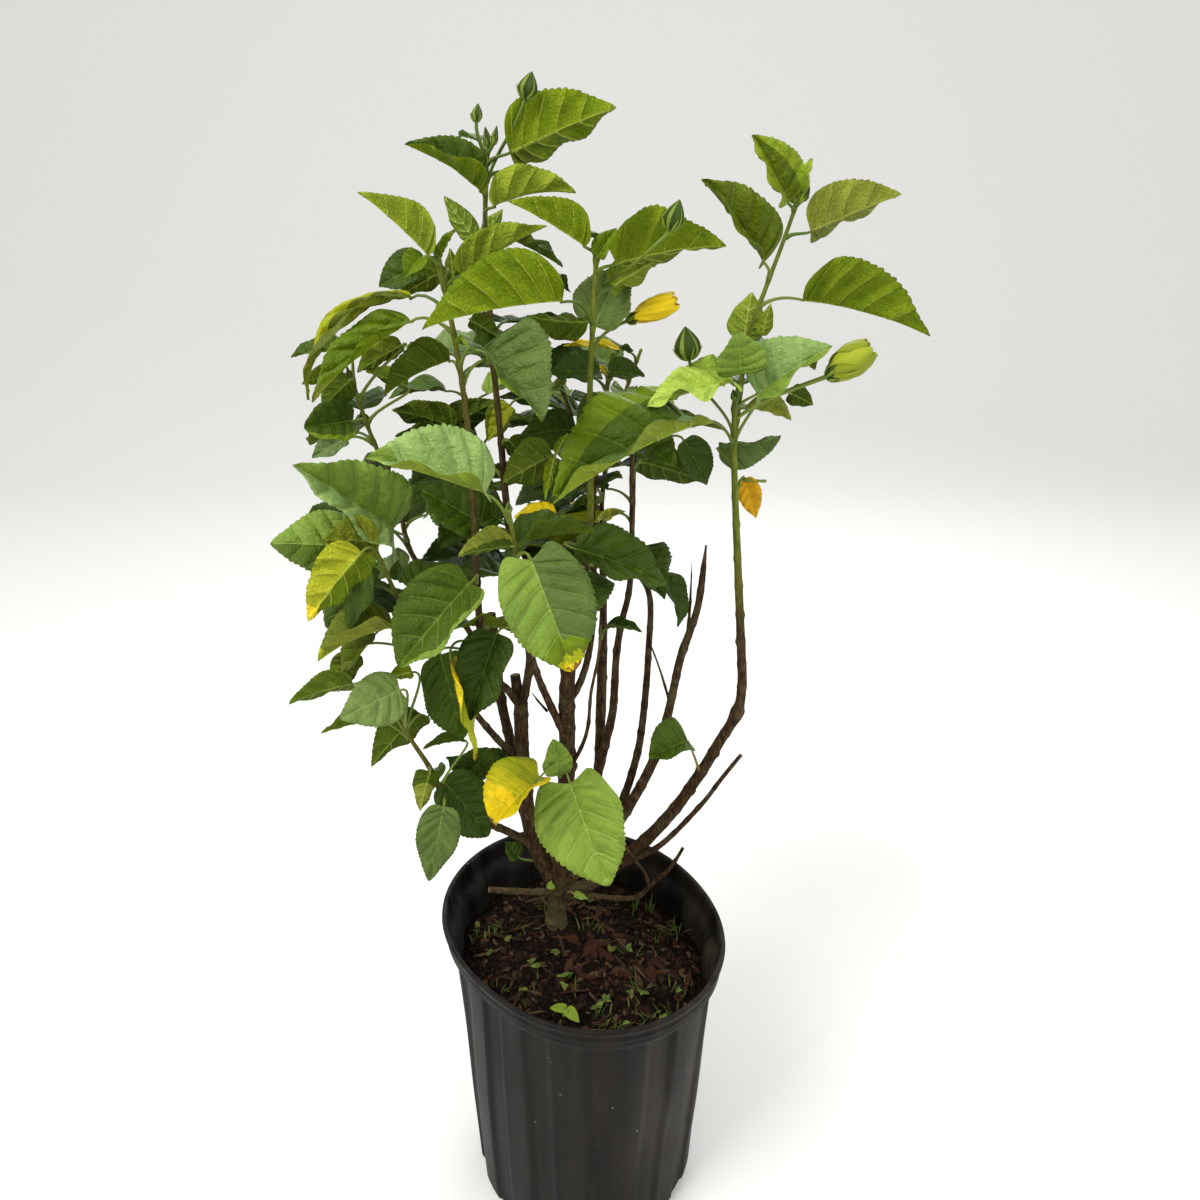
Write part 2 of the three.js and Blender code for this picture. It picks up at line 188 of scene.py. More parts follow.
# ------------------------------------------------------------ joined meshes
class Soup:
    """Collects verts, faces, slots and a UV map, and makes one mesh of them."""

    def __init__(self):
        self.v, self.f4, self.f3, self.m4, self.m3 = [], [], [], [], []
        self.uv, self.n = [], 0
        self.extra = []
        self.mats, self.index = [], {}

    def slot(self, mat):
        if mat.name not in self.index:
            self.index[mat.name] = len(self.mats)
            self.mats.append(mat)
        return self.index[mat.name]

    def add(self, v, quads=None, mq=None, tris=None, mt=None, uv=None, extra=None):
        v = np.asarray(v, np.float32)
        self.v.append(v)
        self.uv.append(np.zeros((len(v), 2), np.float32) if uv is None else np.asarray(uv, np.float32))
        self.extra.append(np.zeros(len(v), np.float32) if extra is None else np.asarray(extra, np.float32))
        if quads is not None and len(quads):
            self.f4.append(np.asarray(quads, np.int32) + self.n)
            self.m4.append(np.broadcast_to(np.asarray(mq, np.int32), (len(quads),)))
        if tris is not None and len(tris):
            self.f3.append(np.asarray(tris, np.int32) + self.n)
            self.m3.append(np.broadcast_to(np.asarray(mt, np.int32), (len(tris),)))
        self.n += len(v)

    def tris(self):
        return 2 * sum(len(f) for f in self.f4) + sum(len(f) for f in self.f3)

    def make(self, name, smooth=True, attr=None, uvname="UVMap"):
        me = bpy.data.meshes.new(name)
        v = np.concatenate(self.v)
        f4 = np.concatenate(self.f4) if self.f4 else np.zeros((0, 4), np.int32)
        f3 = np.concatenate(self.f3) if self.f3 else np.zeros((0, 3), np.int32)
        m = np.concatenate(self.m4 + self.m3).astype(np.int32)
        loops = np.concatenate([f4.ravel(), f3.ravel()]).astype(np.int32)
        tot = np.concatenate([np.full(len(f4), 4), np.full(len(f3), 3)]).astype(np.int32)
        start = np.concatenate([[0], np.cumsum(tot)[:-1]]).astype(np.int32)
        me.vertices.add(len(v))
        me.vertices.foreach_set("co", v.ravel())
        me.loops.add(len(loops))
        me.loops.foreach_set("vertex_index", loops)
        me.polygons.add(len(tot))
        me.polygons.foreach_set("loop_start", start)
        me.polygons.foreach_set("loop_total", tot)
        me.polygons.foreach_set("material_index", m)
        me.polygons.foreach_set("use_smooth", np.full(len(tot), smooth))
        uv = np.concatenate(self.uv)
        lay = me.uv_layers.new(name=uvname)
        lay.data.foreach_set("uv", uv[loops].astype(np.float32).ravel())
        if attr:
            a = me.attributes.new(attr, "FLOAT", "POINT")
            a.data.foreach_set("value", np.concatenate(self.extra))
        for mt in self.mats:
            me.materials.append(mt)
        me.update(calc_edges=True)
        me.validate()
        ob = bpy.data.objects.new(name, me)
        bpy.context.scene.collection.objects.link(ob)
        return ob


# ------------------------------------------------------------------- limbs
# parent, (px, py, depth) way points, foot radius, tip radius in mm, and how
# woody the foot and the tip are (1 bark, 0 green shoot).
LIMBS = {
    "trunk": (None, [(556.5, 927, .058), (557, 895, .055), (559, 860, .05), (565, 800, .04), (567, 740, .033), (567, 690, .027), (573, 640, .02), (583, 580, .012), (590, 520, .005), (590, 450, -.005), (590, 390, -.012), (593, 320, -.02), (597, 245, -.025)], 10.5, 1.7, 1.0, 0.0),
    "A": ("trunk", [(556, 885, .053), (538, 852, .05), (527, 805, .046), (522, 750, .042), (521, 703, .038)], 7.5, 6.2, 1, .9),
    "A1": ("A", [(521, 708, .038), (527, 682, .036), (530, 655, .034), (523, 622, .03), (514, 570, .025), (506, 500, .02), (500, 430, .016), (494, 370, .013), (489, 300, .01), (485, 235, .008), (487, 150, .005)], 4.0, 1.5, .8, 0),
    "A2": ("A", [(521, 708, .038), (508, 690, .03), (494, 677, .02), (483, 648, .01), (478, 600, .0), (474, 520, -.01), (468, 430, -.02), (455, 340, -.03), (437, 255, -.035)], 3.6, 1.5, .8, 0),
    "A3": ("A", [(520, 706, .040), (515, 675, .043)], 4.8, 4.4, 1, 1),
    "B": ("A", [(533, 848, .05), (522, 800, .058), (511, 745, .062), (502, 705, .06), (497, 670, .055), (491, 614, .05)], 5.2, 4.2, 1, .9),
    "B2": ("B", [(499, 690, .058), (480, 650, .052), (455, 610, .047), (430, 580, .043), (408, 545, .04), (397, 490, .04), (376, 447, .035), (362, 410, .03), (350, 372, .025)], 3.0, 1.4, .6, 0),
    "L": ("A", [(519, 760, .043), (500, 742, .033), (476, 714, .018), (455, 685, .004), (435, 650, -.010), (415, 620, -.02), (398, 597, -.03), (385, 570, -.036), (374, 546, -.04)], 3.4, 1.4, .8, 0),
    "M": ("trunk", [(552, 872, .052), (530, 845, .042), (509, 832, .032), (484, 822, .018), (462, 812, .002), (444, 795, -.01), (428, 765, -.02), (409, 736, -.03), (401, 712, -.034)], 4.8, 1.4, .9, 0),
    "C1": ("trunk", [(565, 735, .033), (548, 700, .018), (535, 668, .0), (526, 630, -.03), (520, 590, -.055), (515, 548, -.075), (509, 512, -.085)], 3.8, 1.4, .7, 0),
    "C2": ("trunk", [(567, 705, .028), (582, 678, .03), (591, 640, .035), (594, 590, .037), (593, 540, .036), (593, 500, .034), (598, 450, .03), (605, 400, .028), (613, 355, .028)], 3.3, 1.4, .7, 0),
    "C4": ("C1", [(547, 711, .024), (539, 702, .020), (532, 693, .018)], 1.4, 0.4, .9, .9),
    "C3": ("trunk", [(566, 775, .036), (581, 748, .027), (588, 726, .02), (591, 693, .014), (598, 658, .006), (601, 625, .0)], 2.1, 0.9, .95, .45),
    "D1": ("trunk", [(559, 872, .053), (577, 842, .07), (591, 800, .084), (598, 772, .09), (600, 700, .092), (602, 643, .096), (603, 590, .10), (600, 540, .105), (588, 480, .11), (572, 420, .112), (556, 368, .112)], 5.6, 1.4, 1, 0),
    "D2": ("D1", [(594, 788, .087), (605, 745, .08), (613, 709, .075), (616, 660, .07), (621, 625, .07), (629, 592, .072), (631, 558, .08), (633, 500, .086), (635, 440, .09), (640, 398, .094)], 4.8, 1.4, .9, 0),
    "E": ("trunk", [(558, 878, .053), (590, 850, .066), (618, 810, .076), (636, 759, .073), (644, 709, .07), (649, 643, .062), (650, 600, .055), (641, 572, .05), (633, 550, .046), (632, 500, .04), (632, 470, .036), (635, 425, .03), (641, 388, .026)], 4.8, 1.5, .9, 0),
    "F": ("trunk", [(558, 884, .053), (590, 862, .058), (621, 819, .062), (651, 766, .056), (666, 722, .05), (680, 660, .042), (690, 631, .04), (699, 601, .036), (706, 546, .03)], 6.2, 2.6, 1, .8),
    "F3": ("F", [(669, 700, .047), (661, 673, .048), (652, 648, .047)], 1.3, 0.7, .9, .6),
    "F2": ("F", [(687, 640, .041), (690, 605, .045), (692, 561, .046)], 1.6, 0.6, .8, .8),
    "G": ("trunk", [(557, 893, .054), (588, 885, .058), (625, 858, .06), (667, 818, .055), (699, 775, .045), (720, 741, .04), (737, 712, .035), (742, 684, .03), (741, 646, .027), (739, 593, .022), (736, 520, .018), (734, 450, .012), (735, 398, .008)], 7.4, 1.9, 1, 0),
    "T5": ("G", [(734, 440, .011), (741, 385, .01), (747, 340, .008), (765, 290, .005), (782, 245, .003), (797, 203, .0)], 2.3, 1.3, .1, 0),
    "H": ("G", [(618, 866, .058), (659, 846, .05), (700, 806, .04), (722, 778, .037), (741, 755, .034)], 3.2, 1.7, .9, .8),
    "J": ("trunk", [(558, 897, .054), (590, 896, .045), (633, 898, .035), (652, 884, .03), (670, 868, .03), (683, 848, .03)], 3.3, 1.5, 1, .9),
    "J2": ("J", [(650, 887, .031), (644, 872, .03), (636, 862, .03), (625, 846, .03)], 1.8, 1.1, 1, .9),
    "K": ("trunk", [(556, 892, .055), (530, 892, .046), (489, 890, .04)], 3.6, 3.0, 1, 1),
    "N1": ("trunk", [(557, 880, .055), (560, 850, .066), (566, 800, .082), (567, 740, .10), (566, 690, .112), (556, 640, .126), (535, 580, .14), (507, 520, .15), (482, 460, .156), (466, 400, .156), (456, 350, .152)], 4.6, 1.4, .9, 0),
    "N2": ("D1", [(590, 806, .083), (598, 770, .105), (602, 720, .122), (604, 660, .135), (604, 600, .143), (602, 550, .15), (602, 500, .156), (611, 440, .16), (626, 390, .16), (641, 350, .156)], 4.2, 1.4, .8, 0),
}


def spline(pts, step=0.0022):
    P = np.array([at(*p) for p in pts])
    out = []
    m = len(P)
    for i in range(m - 1):
        p0, p1, p2, p3 = P[max(i - 1, 0)], P[i], P[i + 1], P[min(i + 2, m - 1)]
        n = max(3, int(np.linalg.norm(p2 - p1) / step))
        t = (np.arange(n) / n)[:, None]
        out.append(0.5 * (2 * p1 + (p2 - p0) * t + (2 * p0 - 5 * p1 + 4 * p2 - p3) * t * t + (3 * p1 - p0 - 3 * p2 + p3) * t**3))
    out.append(P[-1:])
    return np.concatenate(out)


PATH = {k: spline(v[1]) for k, v in LIMBS.items()}
# No limb starts below the soil's top.
SOIL_Z = 0.250
ARC = {}
for k, P in PATH.items():
    ARC[k] = np.concatenate([[0], np.cumsum(np.linalg.norm(np.diff(P, axis=0), axis=1))])


def limb_radius(name, s):
    """Radius in metres at arc length s."""
    _, _, r0, r1, _, _ = LIMBS[name]
    if name == "trunk":
        h = PATH[name][0][2] + s  # the stem is near enough upright
        return np.interp(h, [0.250, 0.530, 0.600, 0.700, 0.850, 0.880], [9.3, 6.8, 4.5, 2.5, 1.8, 1.5]) / 1000
    t = np.clip(s / ARC[name][-1], 0, 1)
    return (r0 + (r1 - r0) * t**0.85) / 1000


def frames(P):
    T = np.gradient(P, axis=0)
    T /= np.linalg.norm(T, axis=1)[:, None]
    side = np.cross(np.array([0, 1.0, 0]), T[0])
    side = unit(side if np.linalg.norm(side) > 0.1 else np.cross([1.0, 0, 0], T[0]))
    S = [side]
    for i in range(1, len(P)):
        s = S[-1] - T[i] * (S[-1] @ T[i])
        S.append(unit(s))
    S = np.array(S)
    return T, S, np.cross(T, S)


def grid_noise(a, b, seed, octaves=3):
    """Cheap smooth noise over two arrays."""
    rs = np.random.RandomState(seed)
    out = np.zeros(np.broadcast(a, b).shape)
    amp = 1.0
    f = 1.0
    for _ in range(octaves):
        for _ in range(3):
            k = rs.uniform(-1, 1, 2) * 2.2 * f
            out += amp * np.sin(k[0] * a + k[1] * b + rs.uniform(0, 6.28))
        amp *= 0.5
        f *= 2.1
    return out / 5.25


NODES_AT = {}


def tube(soup, mat, P, rad, sides=12, cap0=True, cap1=True, relief=None, uvbox=None, extra=None, cut=False):
    T, S, N = frames(P)
    n = len(P)
    a = np.arange(sides) / sides * 2 * np.pi
    r = np.broadcast_to(rad[:, None], (n, sides)).copy()
    if relief is not None:
        r = r + relief(np.arange(n)[:, None], a[None, :])
    V = P[:, None, :] + r[..., None] * (np.cos(a)[None, :, None] * S[:, None, :] + np.sin(a)[None, :, None] * N[:, None, :])
    V = V.reshape(-1, 3)
    i = np.arange(n - 1)[:, None] * sides
    j = np.arange(sides)[None, :]
    j2 = (j + 1) % sides
    Q = np.stack([i + j, i + j2, i + sides + j2, i + sides + j], -1).reshape(-1, 4)
    x0, y0, x1, y1 = uvbox or (0, 0, 1, 1)
    U = np.stack(np.broadcast_arrays(x0 + (x1 - x0) * np.abs(2 * j / sides - 1), y0 + (y1 - y0) * (np.arange(n) / max(1, n - 1))[:, None]), -1).reshape(-1, 2)
    ex = np.zeros(n) if extra is None else extra
    E = np.repeat(ex, sides)
    extra_v, tris, ev, eu = [], [], [], []
    base = n * sides
    for end, on in ((0, cap0), (n - 1, cap1)):
        if not on:
            continue
        c = P[end] + T[end] * (0.0 if cut else (0.5 * rad[end] * (1 if end else -1)))
        extra_v.append(c)
        ev.append(ex[end])
        eu.append(U[end * sides])
        k = base + len(extra_v) - 1
        jj = np.arange(sides)
        o = end * sides
        if end:
            tris.append(np.stack([np.full(sides, k), o + jj, o + (jj + 1) % sides], -1))
        else:
            tris.append(np.stack([np.full(sides, k), o + (jj + 1) % sides, o + jj], -1))
    if extra_v:
        V = np.concatenate([V, extra_v])
        U = np.concatenate([U, eu])
        E = np.concatenate([E, ev])
        tris = np.concatenate(tris)
    else:
        tris = None
    s = soup.slot(mat)
    soup.add(V, Q, s, tris, s, U, E)


# ------------------------------------------------------------------- leaves
def leaf_grid(teeth, every, small):
    """Rows q with tooth offset and vein flags; every so many teeth carry a side vein."""
    start = [0.0, 0.010, 0.03, 0.065, 0.105] if small else [0.0, 0.004, 0.012, 0.026, 0.046, 0.072, 0.103]
    q, tooth, vein, per = start, [0.0] * len(start), [0] * len(start), [0.0] * len(start)
    q0, q1 = 0.135, 0.972
    d = (q1 - q0) / teeth
    for i in range(teeth):
        main = i % every == 0
        if small:
            prof = [(0, 0), (0.5, 0.7), (0.83, 1.0), (0.93, 0.9)] if main else [(0, 0), (0.5, 0.7), (0.9, 1.0)]
        else:
            prof = [(0, 0), (0.34, 0.55), (0.66, 0.95), (0.80, 1.0), (0.94, 0.85)] if main else [(0, 0), (0.34, 0.55), (0.70, 0.95), (0.92, 0.9)]
        fade = min(1, 0.15 + 0.14 * i, 0.5 + 0.25 * (teeth - 1 - i))
        for a, e in prof:
            q.append(q0 + d * (i + a))
            tooth.append(e * fade)
            vein.append(1 if main and a == (0.83 if small else 0.80) else 0)
            per.append(i + a)
    q += [0.988, 1.0]
    tooth += [0.0, 0.0]
    vein += [0, 0]
    per += [teeth, teeth]
    return np.array(q), np.array(tooth), np.array(vein), np.array(per)


def leaf_mesh(B, T, width, roll=0.0, fold=20.0, bend=15.0, wave=0.6, twist=0.0, curl=0.0, shape=0.0, tip_bend=0.0, seed=0, normal=None, teeth=None, curl2=None, tip_long=0.0, heart=0.03, full=0.0):
    """A closed thin leaf from base B to tip T. Returns arrays and face kinds."""
    rs = np.random.RandomState(seed)
    L = float(np.linalg.norm(T - B))
    W = width / 2
    small = L < 0.042
    teeth = teeth or (9 if small else 13 if L < 0.07 else 16)
    every = 2 if small else 3
    q, tooth, isvein, per = leaf_grid(teeth, every, small)
    n = len(q)
    cols = np.array([0, 0.5, 1.0]) if L < 0.012 else np.array([0, 0.05, 0.35, 0.7, 1.0]) if small else np.array([0, 0.03, 0.2, 0.42, 0.64, 0.84, 1.0])
    mid_w = 0.00066 if not small else 0.00036
    nc = len(cols)
    aa, bb = 0.42 + 0.10 * shape + 0.07 * full, 0.93 + 0.25 * shape - 0.17 * full
    f = np.where(q <= 0, 0, np.power(np.maximum(q, 1e-9), aa)) * np.power(np.maximum(1 - q, 0), bb)
    f /= (aa / (aa + bb)) ** aa * (bb / (aa + bb)) ** bb
    # a drawn-out tip
    f = f * (1 - (0.12 + tip_long) * np.clip((q - 0.72) / 0.2, 0, 1) * np.clip((1 - q) / 0.12, 0, 1))
    m = 0.06 * q + 0.94 * np.power(q, 2.0)
    f[0], f[-1] = 0.02, 0.004
    out = {}
    rows = []
    side_seed = [rs.uniform(0, 6.28), rs.uniform(0, 6.28)]
    wob = 1 + 0.05 * np.sin(q * 5.0 + rs.uniform(0, 6.28))
    for side in (-1, 1):
        irr = 1 + 0.25 * np.sin(per * 2.7 + side_seed[0 if side < 0 else 1])
        t = cols[None, :]
        wmax = (W * f * wob)[:, None]
        edge = np.clip((t - 0.7) / 0.3, 0, 1) ** 1.3
        d = wmax * t + edge * (tooth * irr)[:, None] * 0.052 * W * (0.45 + 0.55 * f[:, None])
        if nc > 3:
            d[:, 1] = np.minimum(mid_w * (1.15 - 0.85 * q), 0.5 * d[:, 2] + 1e-5)
        y = L * (m[:, None] + (q - m)[:, None] * (0.62 * t + 0.38 * t * t))
        # the base runs back a little on both sides of the stalk
        y = y - L * heart * ((q / 0.04) * np.exp(1 - q / 0.04))[:, None] * t**1.4
        rows.append((side, d, y))
    # quilting between the side veins, deeper near the midrib
    ph = ((per - 0.83) % every) / every
    quilt = np.where(q > 0.1, np.abs(np.sin(np.pi * ph)) ** 0.8, 0.5)
    out_v, out_uv = [], []
    th = 0.00038
    fold_r, bend_r, twist_r = math.radians(fold), math.radians(bend), math.radians(twist)
    curl_r = math.radians(curl)
    curl_l = [curl_r, curl_r if curl2 is None else math.radians(curl2)]
    wk = rs.uniform(1.6, 2.6)
    wp = [rs.uniform(0, 6.28), rs.uniform(0, 6.28)]
    top_all, bot_all = [], []
    for k, (side, d, y) in enumerate(rows):
        tt = cols[None, :]
        relief = 0.038 * L * (quilt[:, None] - 0.5) * np.clip(4 * tt * (1 - tt), 0, 1) ** 0.7 * np.clip(np.minimum(q, 1 - q) * 6, 0, 1)[:, None]
        relief = relief + 0.012 * L * grid_noise(q[:, None] * 8, tt * 3.4 * side, seed + 11, 2)
        groove = -0.0007 * np.exp(-((d / 0.0016) ** 2)) * (1 - 0.6 * q)[:, None]
        vein_dip = -0.00035 * isvein[:, None] * (tt < 0.97)
        wavy = wave * 0.05 * L * (tt**2.2) * np.sin(2 * np.pi * wk * q[:, None] + wp[k]) * np.clip(np.minimum(q, 1 - q) * 5, 0, 1)[:, None]
        vein_up = 0.00075 * np.exp(-((d / 0.0013) ** 2)) * (1 - 0.5 * q)[:, None] + 0.0004 * isvein[:, None] * (tt < 0.97)
        thick = th * (1 - 0.72 * (tt >= 0.999))
        for which, z in ((0, relief + groove + vein_dip + wavy), (1, relief + wavy - thick - vein_up * (tt < 0.999) + 0 * groove)):
            # fold and curl across
            kap = curl_l[k] / max(W, 1e-6)
            ang0 = fold_r * (0.35 + 0.65 * np.clip(q * 6, 0, 1))[:, None]
            th_ = ang0 + kap * d
            if abs(kap) > 1e-6:
                x = (np.sin(th_) - np.sin(ang0)) / kap
                h = (np.cos(ang0) - np.cos(th_)) / kap
            else:
                x, h = d * np.cos(ang0), d * np.sin(ang0)
            x = x - z * np.sin(th_)
            h = h + z * np.cos(th_)
            x = x * side
            # bend along the midrib, more at the tip when tip_bend is set
            c = bend_r / L
            extra = math.radians(tip_bend) * np.clip((y / L - 0.6) / 0.4, 0, 1) ** 2
            ang = c * y + extra
            yy = np.where(abs(c) > 1e-6, np.sin(c * y) / (c if abs(c) > 1e-6 else 1), y)
            zz = np.where(abs(c) > 1e-6, -(1 - np.cos(c * y)) / (c if abs(c) > 1e-6 else 1), 0)
            zz = zz - L * 0.14 * extra
            Y = yy + h * np.sin(ang)
            Z = zz + h * np.cos(ang)
            tw = twist_r * (y / L)
            X2 = x * np.cos(tw) - (Z - zz) * np.sin(tw)
            Z2 = zz + x * np.sin(tw) + (Z - zz) * np.cos(tw)
            P = np.stack([X2, Y, Z2], -1)
            uv = np.stack([d * side * 10, y * 10], -1)
            (top_all if which == 0 else bot_all).append((P, uv))
    # join the halves: columns from left margin to right margin
    def join(parts):
        (pl, ul), (pr, ur) = parts
        return np.concatenate([pl[:, ::-1], pr[:, 1:]], 1), np.concatenate([ul[:, ::-1], ur[:, 1:]], 1)

    top, tuv = join(top_all)
    bot, buv = join(bot_all)
    C = 2 * nc - 1
    base, tip = top[0, nc - 1].copy(), top[-1, nc - 1].copy()
    top -= base
    bot -= base
    tip = tip - base
    # place: base at B, tip at T, the top face turned by roll
    tl = unit(np.array([0, tip[1], tip[2]]))
    nl = np.array([0, -tl[2], tl[1]])
    xl = np.array([1.0, 0, 0])
    a = unit(T - B)
    if normal is None:
        c = unit(CAM - (B + T) / 2)
        n0 = unit(c - a * (a @ c))
        u = np.cross(a, n0)
        if u @ UP < 0:
            u = -u
        rr = math.radians(roll)
        nw = n0 * math.cos(rr) + u * math.sin(rr)
    else:
        nw = unit(normal - a * (a @ normal))
    xw = np.cross(a, nw)
    up_side = 1 if xw @ np.array(UP) >= 0 else -1
    scale = L / np.linalg.norm(tip)
    M = scale * (np.outer(xw, xl) + np.outer(a, tl) + np.outer(nw, nl))
    top = top.reshape(-1, 3) @ M.T + B
    bot = bot.reshape(-1, 3) @ M.T + B
    V = np.concatenate([top, bot])
    UV = np.concatenate([tuv.reshape(-1, 2), buv.reshape(-1, 2)])
    i, j = np.meshgrid(np.arange(n - 1), np.arange(C - 1), indexing="ij")
    v0 = i * C + j
    topq = np.stack([v0, v0 + 1, v0 + C + 1, v0 + C], -1)
    N = n * C
    botq = np.stack([v0 + N, v0 + N + C, v0 + N + C + 1, v0 + N + 1], -1)
    midrib = (j == nc - 2) | (j == nc - 1)
    lat = (isvein[:-1][i] == 1) & (isvein[1:][i] == 0) & (j > 0) & (j < C - 2)
    # Face kinds: 0 plain, 1 vein, 2 the lighter copy, 3 the darker copy, used on both faces. The noise patches are
    # random tone. The lighter band on the base side of each side vein and the darker band on its tip side are painted
    # highlight and painted shade of the quilting.
    patch = grid_noise(q[:-1][i] * 11, (j - nc + 1) * 0.62, seed + 5, 3)
    cell = ph[:-1][i]
    lean = patch + np.where(cell > 0.72, 0.30, np.where(cell < 0.16, -0.34, 0.0))
    kind_top = np.where(lean > 0.34, 2, np.where(lean < -0.36, 3, 0))
    kind_top = np.where(midrib | lat, 1, kind_top)
    # the margin
    rim = []
    ii = np.arange(n - 1)
    rim.append(np.stack([ii * C, (ii + 1) * C, (ii + 1) * C + N, ii * C + N], -1))
    k = C - 1
    rim.append(np.stack([ii * C + k, ii * C + k + N, (ii + 1) * C + k + N, (ii + 1) * C + k], -1))
    jj = np.arange(C - 1)
    rim.append(np.stack([jj, jj + N, jj + 1 + N, jj + 1], -1))
    o = (n - 1) * C
    rim.append(np.stack([o + jj, o + jj + 1, o + jj + 1 + N, o + jj + N], -1))
    rim = np.concatenate(rim)
    return dict(V=V, UV=UV, top=topq.reshape(-1, 4), bot=botq.reshape(-1, 4), rim=rim, kind=kind_top.reshape(-1), t=np.abs((j.reshape(-1) + 0.5) - (C - 1) / 2) / ((C - 1) / 2), q=q[i.reshape(-1)], up=np.sign((j.reshape(-1) + 0.5) - (C - 1) / 2) * up_side, L=L, frame=(xw, a, nw), poly=top.reshape(n, C, 3))


# Leaf tones: upper face, its veins, underside, its veins.
TONES = {
    "drk": [((56, 77, 8), (92, 116, 34), (72, 88, 16), (112, 130, 44)), ((50, 71, 12), (86, 108, 36), (66, 82, 18), (104, 122, 44))],
    "mid": [((68, 90, 17), (108, 132, 48), (86, 102, 18), (130, 146, 56)), ((62, 84, 20), (102, 126, 50), (80, 97, 22), (122, 138, 56))],
    "gry": [((102, 123, 60), (134, 156, 90), (104, 124, 46), (142, 158, 78)), ((96, 116, 64), (128, 150, 92), (98, 118, 50), (136, 152, 80))],
    "sft": [((80, 101, 44), (116, 138, 70), (84, 100, 34), (124, 138, 62))],
    "pal": [((134, 162, 90), (162, 186, 112), (130, 150, 54), (160, 174, 86))],
    "dol": [((80, 96, 6), (122, 140, 38), (100, 116, 18), (140, 154, 54))],
    "lit": [((112, 138, 50), (148, 172, 84), (124, 144, 44), (154, 170, 78)), ((120, 146, 52), (156, 180, 88), (130, 150, 46), (160, 174, 80))],
    "brt": [((118, 138, 24), (154, 172, 66), (124, 140, 36), (158, 172, 74))],
    "fre": [((138, 160, 38), (166, 184, 78), (134, 152, 48), (162, 178, 84))],
    "frp": [((166, 190, 76), (192, 210, 112), (132, 152, 52), (162, 178, 88))],
    "ymm": [((178, 172, 16), (202, 194, 58), (174, 168, 32), (200, 192, 68))],
    "yng": [((94, 116, 8), (136, 156, 44), (106, 126, 16), (154, 168, 62)), ((86, 108, 10), (128, 148, 44), (100, 119, 16), (146, 160, 60))],
    "olv": [((92, 104, 14), (130, 140, 46), (120, 130, 44), (150, 158, 70)), ((84, 96, 16), (122, 132, 44), (108, 118, 30), (140, 148, 60))],
    "ylm": [((146, 154, 18), (180, 184, 60), (146, 152, 32), (180, 184, 68))],
    "yel": [((206, 182, 12), (222, 202, 56), (202, 184, 34), (220, 202, 70))],
    "org": [((200, 150, 16), (214, 176, 52), (196, 158, 38), (212, 176, 64))],
    "brn": [((112, 74, 34), (130, 98, 54), (116, 84, 44), (132, 104, 62))],
}
LEAF_MATS = {}
for cls, sets in TONES.items():
    for k, tones in enumerate(sets):
        row = []
        def shade(c, r, g, b):
            return (c[0] * r, c[1] * g, c[2] * b)

        tv, ut, uv_ = tones[1], tones[2], tones[3]
        tv = tuple(0.35 * a + 0.65 * b for a, b in zip(tones[0], tv))
        # toplit, topshade, underlit and undershade are the face colour made lighter and darker: painted highlight and
        # painted shade, dealt out by face kind in leaf_mesh.
        eight = [tones[0], tv, shade(tones[0], 1.09, 1.065, 1.1), shade(tones[0], 0.91, 0.925, 0.94), ut, uv_, shade(ut, 1.10, 1.075, 1.15), shade(ut, 0.89, 0.91, 0.9)]
        for kind, c in zip(("top", "topvein", "toplit", "topshade", "under", "undervein", "underlit", "undershade"), eight):
            mt = new_mat(f"leaf_{cls}{k}_{kind}", rgb(*c), 0.42 if "top" in kind else 0.62, 0.15 if "top" in kind else 0.08)
            uvn = coords(mt, "UV")
            vor = node(mt, "ShaderNodeTexVoronoi", feature="DISTANCE_TO_EDGE")
            vor.inputs["Scale"].default_value = 34.0
            link(mt, uvn, vor.inputs["Vector"])
            cell = math_node(mt, "MINIMUM", vor.outputs["Distance"], 0.16)
            fine = noise(mt, uvn, 46.0, 4.0)
            b0 = bump(mt, noise(mt, uvn, 13.0, 2.0), 0.45, 0.0060)
            b1 = bump(mt, cell, 0.50 if "top" in kind else 0.85, 0.0028, b0)
            b2 = bump(mt, fine, 0.36, 0.0018, b1)
            link(mt, b2, mt.node_tree.nodes["Principled BSDF"].inputs["Normal"])
            row.append(mt)
        LEAF_MATS[(cls, k)] = row

GREEN = {}
for i, c in enumerate([(98, 116, 30), (82, 102, 26), (112, 128, 44), (126, 108, 52)]):
    mt = new_mat(f"petiole_{i}", rgb(*c), 0.5, 0.35)
    link(mt, bump(mt, noise(mt, coords(mt), 700.0, 2.0), 0.2, 0.0004), mt.node_tree.nodes["Principled BSDF"].inputs["Normal"])
    GREEN[i] = mt

LEAVES = []  # everything placed, for clearances
MASK = np.full((300, 300), 9.0)  # how near the nearest front leaf is in the view, in 4 px cells


def splat(poly):
    pts = poly.reshape(-1, 3)
    p = seen(pts) / 4
    ok = (p[:, 0] > 1) & (p[:, 0] < 298) & (p[:, 1] > 1) & (p[:, 1] < 298)
    far = ((pts - CAM) @ FW)[ok]
    p = p[ok].astype(int)
    for dx in (-1, 0, 1):
        for dy in (-1, 0, 1):
            np.minimum.at(MASK, (p[:, 1] + dy, p[:, 0] + dx), far)


SOUPS = {}


def soup_for(p):
    """Leaves are joined by the part of the crown that they grow in."""
    if p[1] > 0.05:
        key = "leaves_back_left_spray" if p[0] < 0 else "leaves_back_right_spray"
    elif p[2] < 0.60:
        key = "leaves_low_spray"
    elif p[0] < -0.05:
        key = "leaves_left_spray" if p[2] < 0.75 else "leaves_upper_left_spray"
    elif p[2] > 0.80 and p[0] < 0.06:
        key = "leaves_top_spray"
    elif p[0] < 0.06:
        key = "leaves_middle_spray"
    else:
        key = "leaves_right_spray"
    return SOUPS.setdefault(key, Soup())


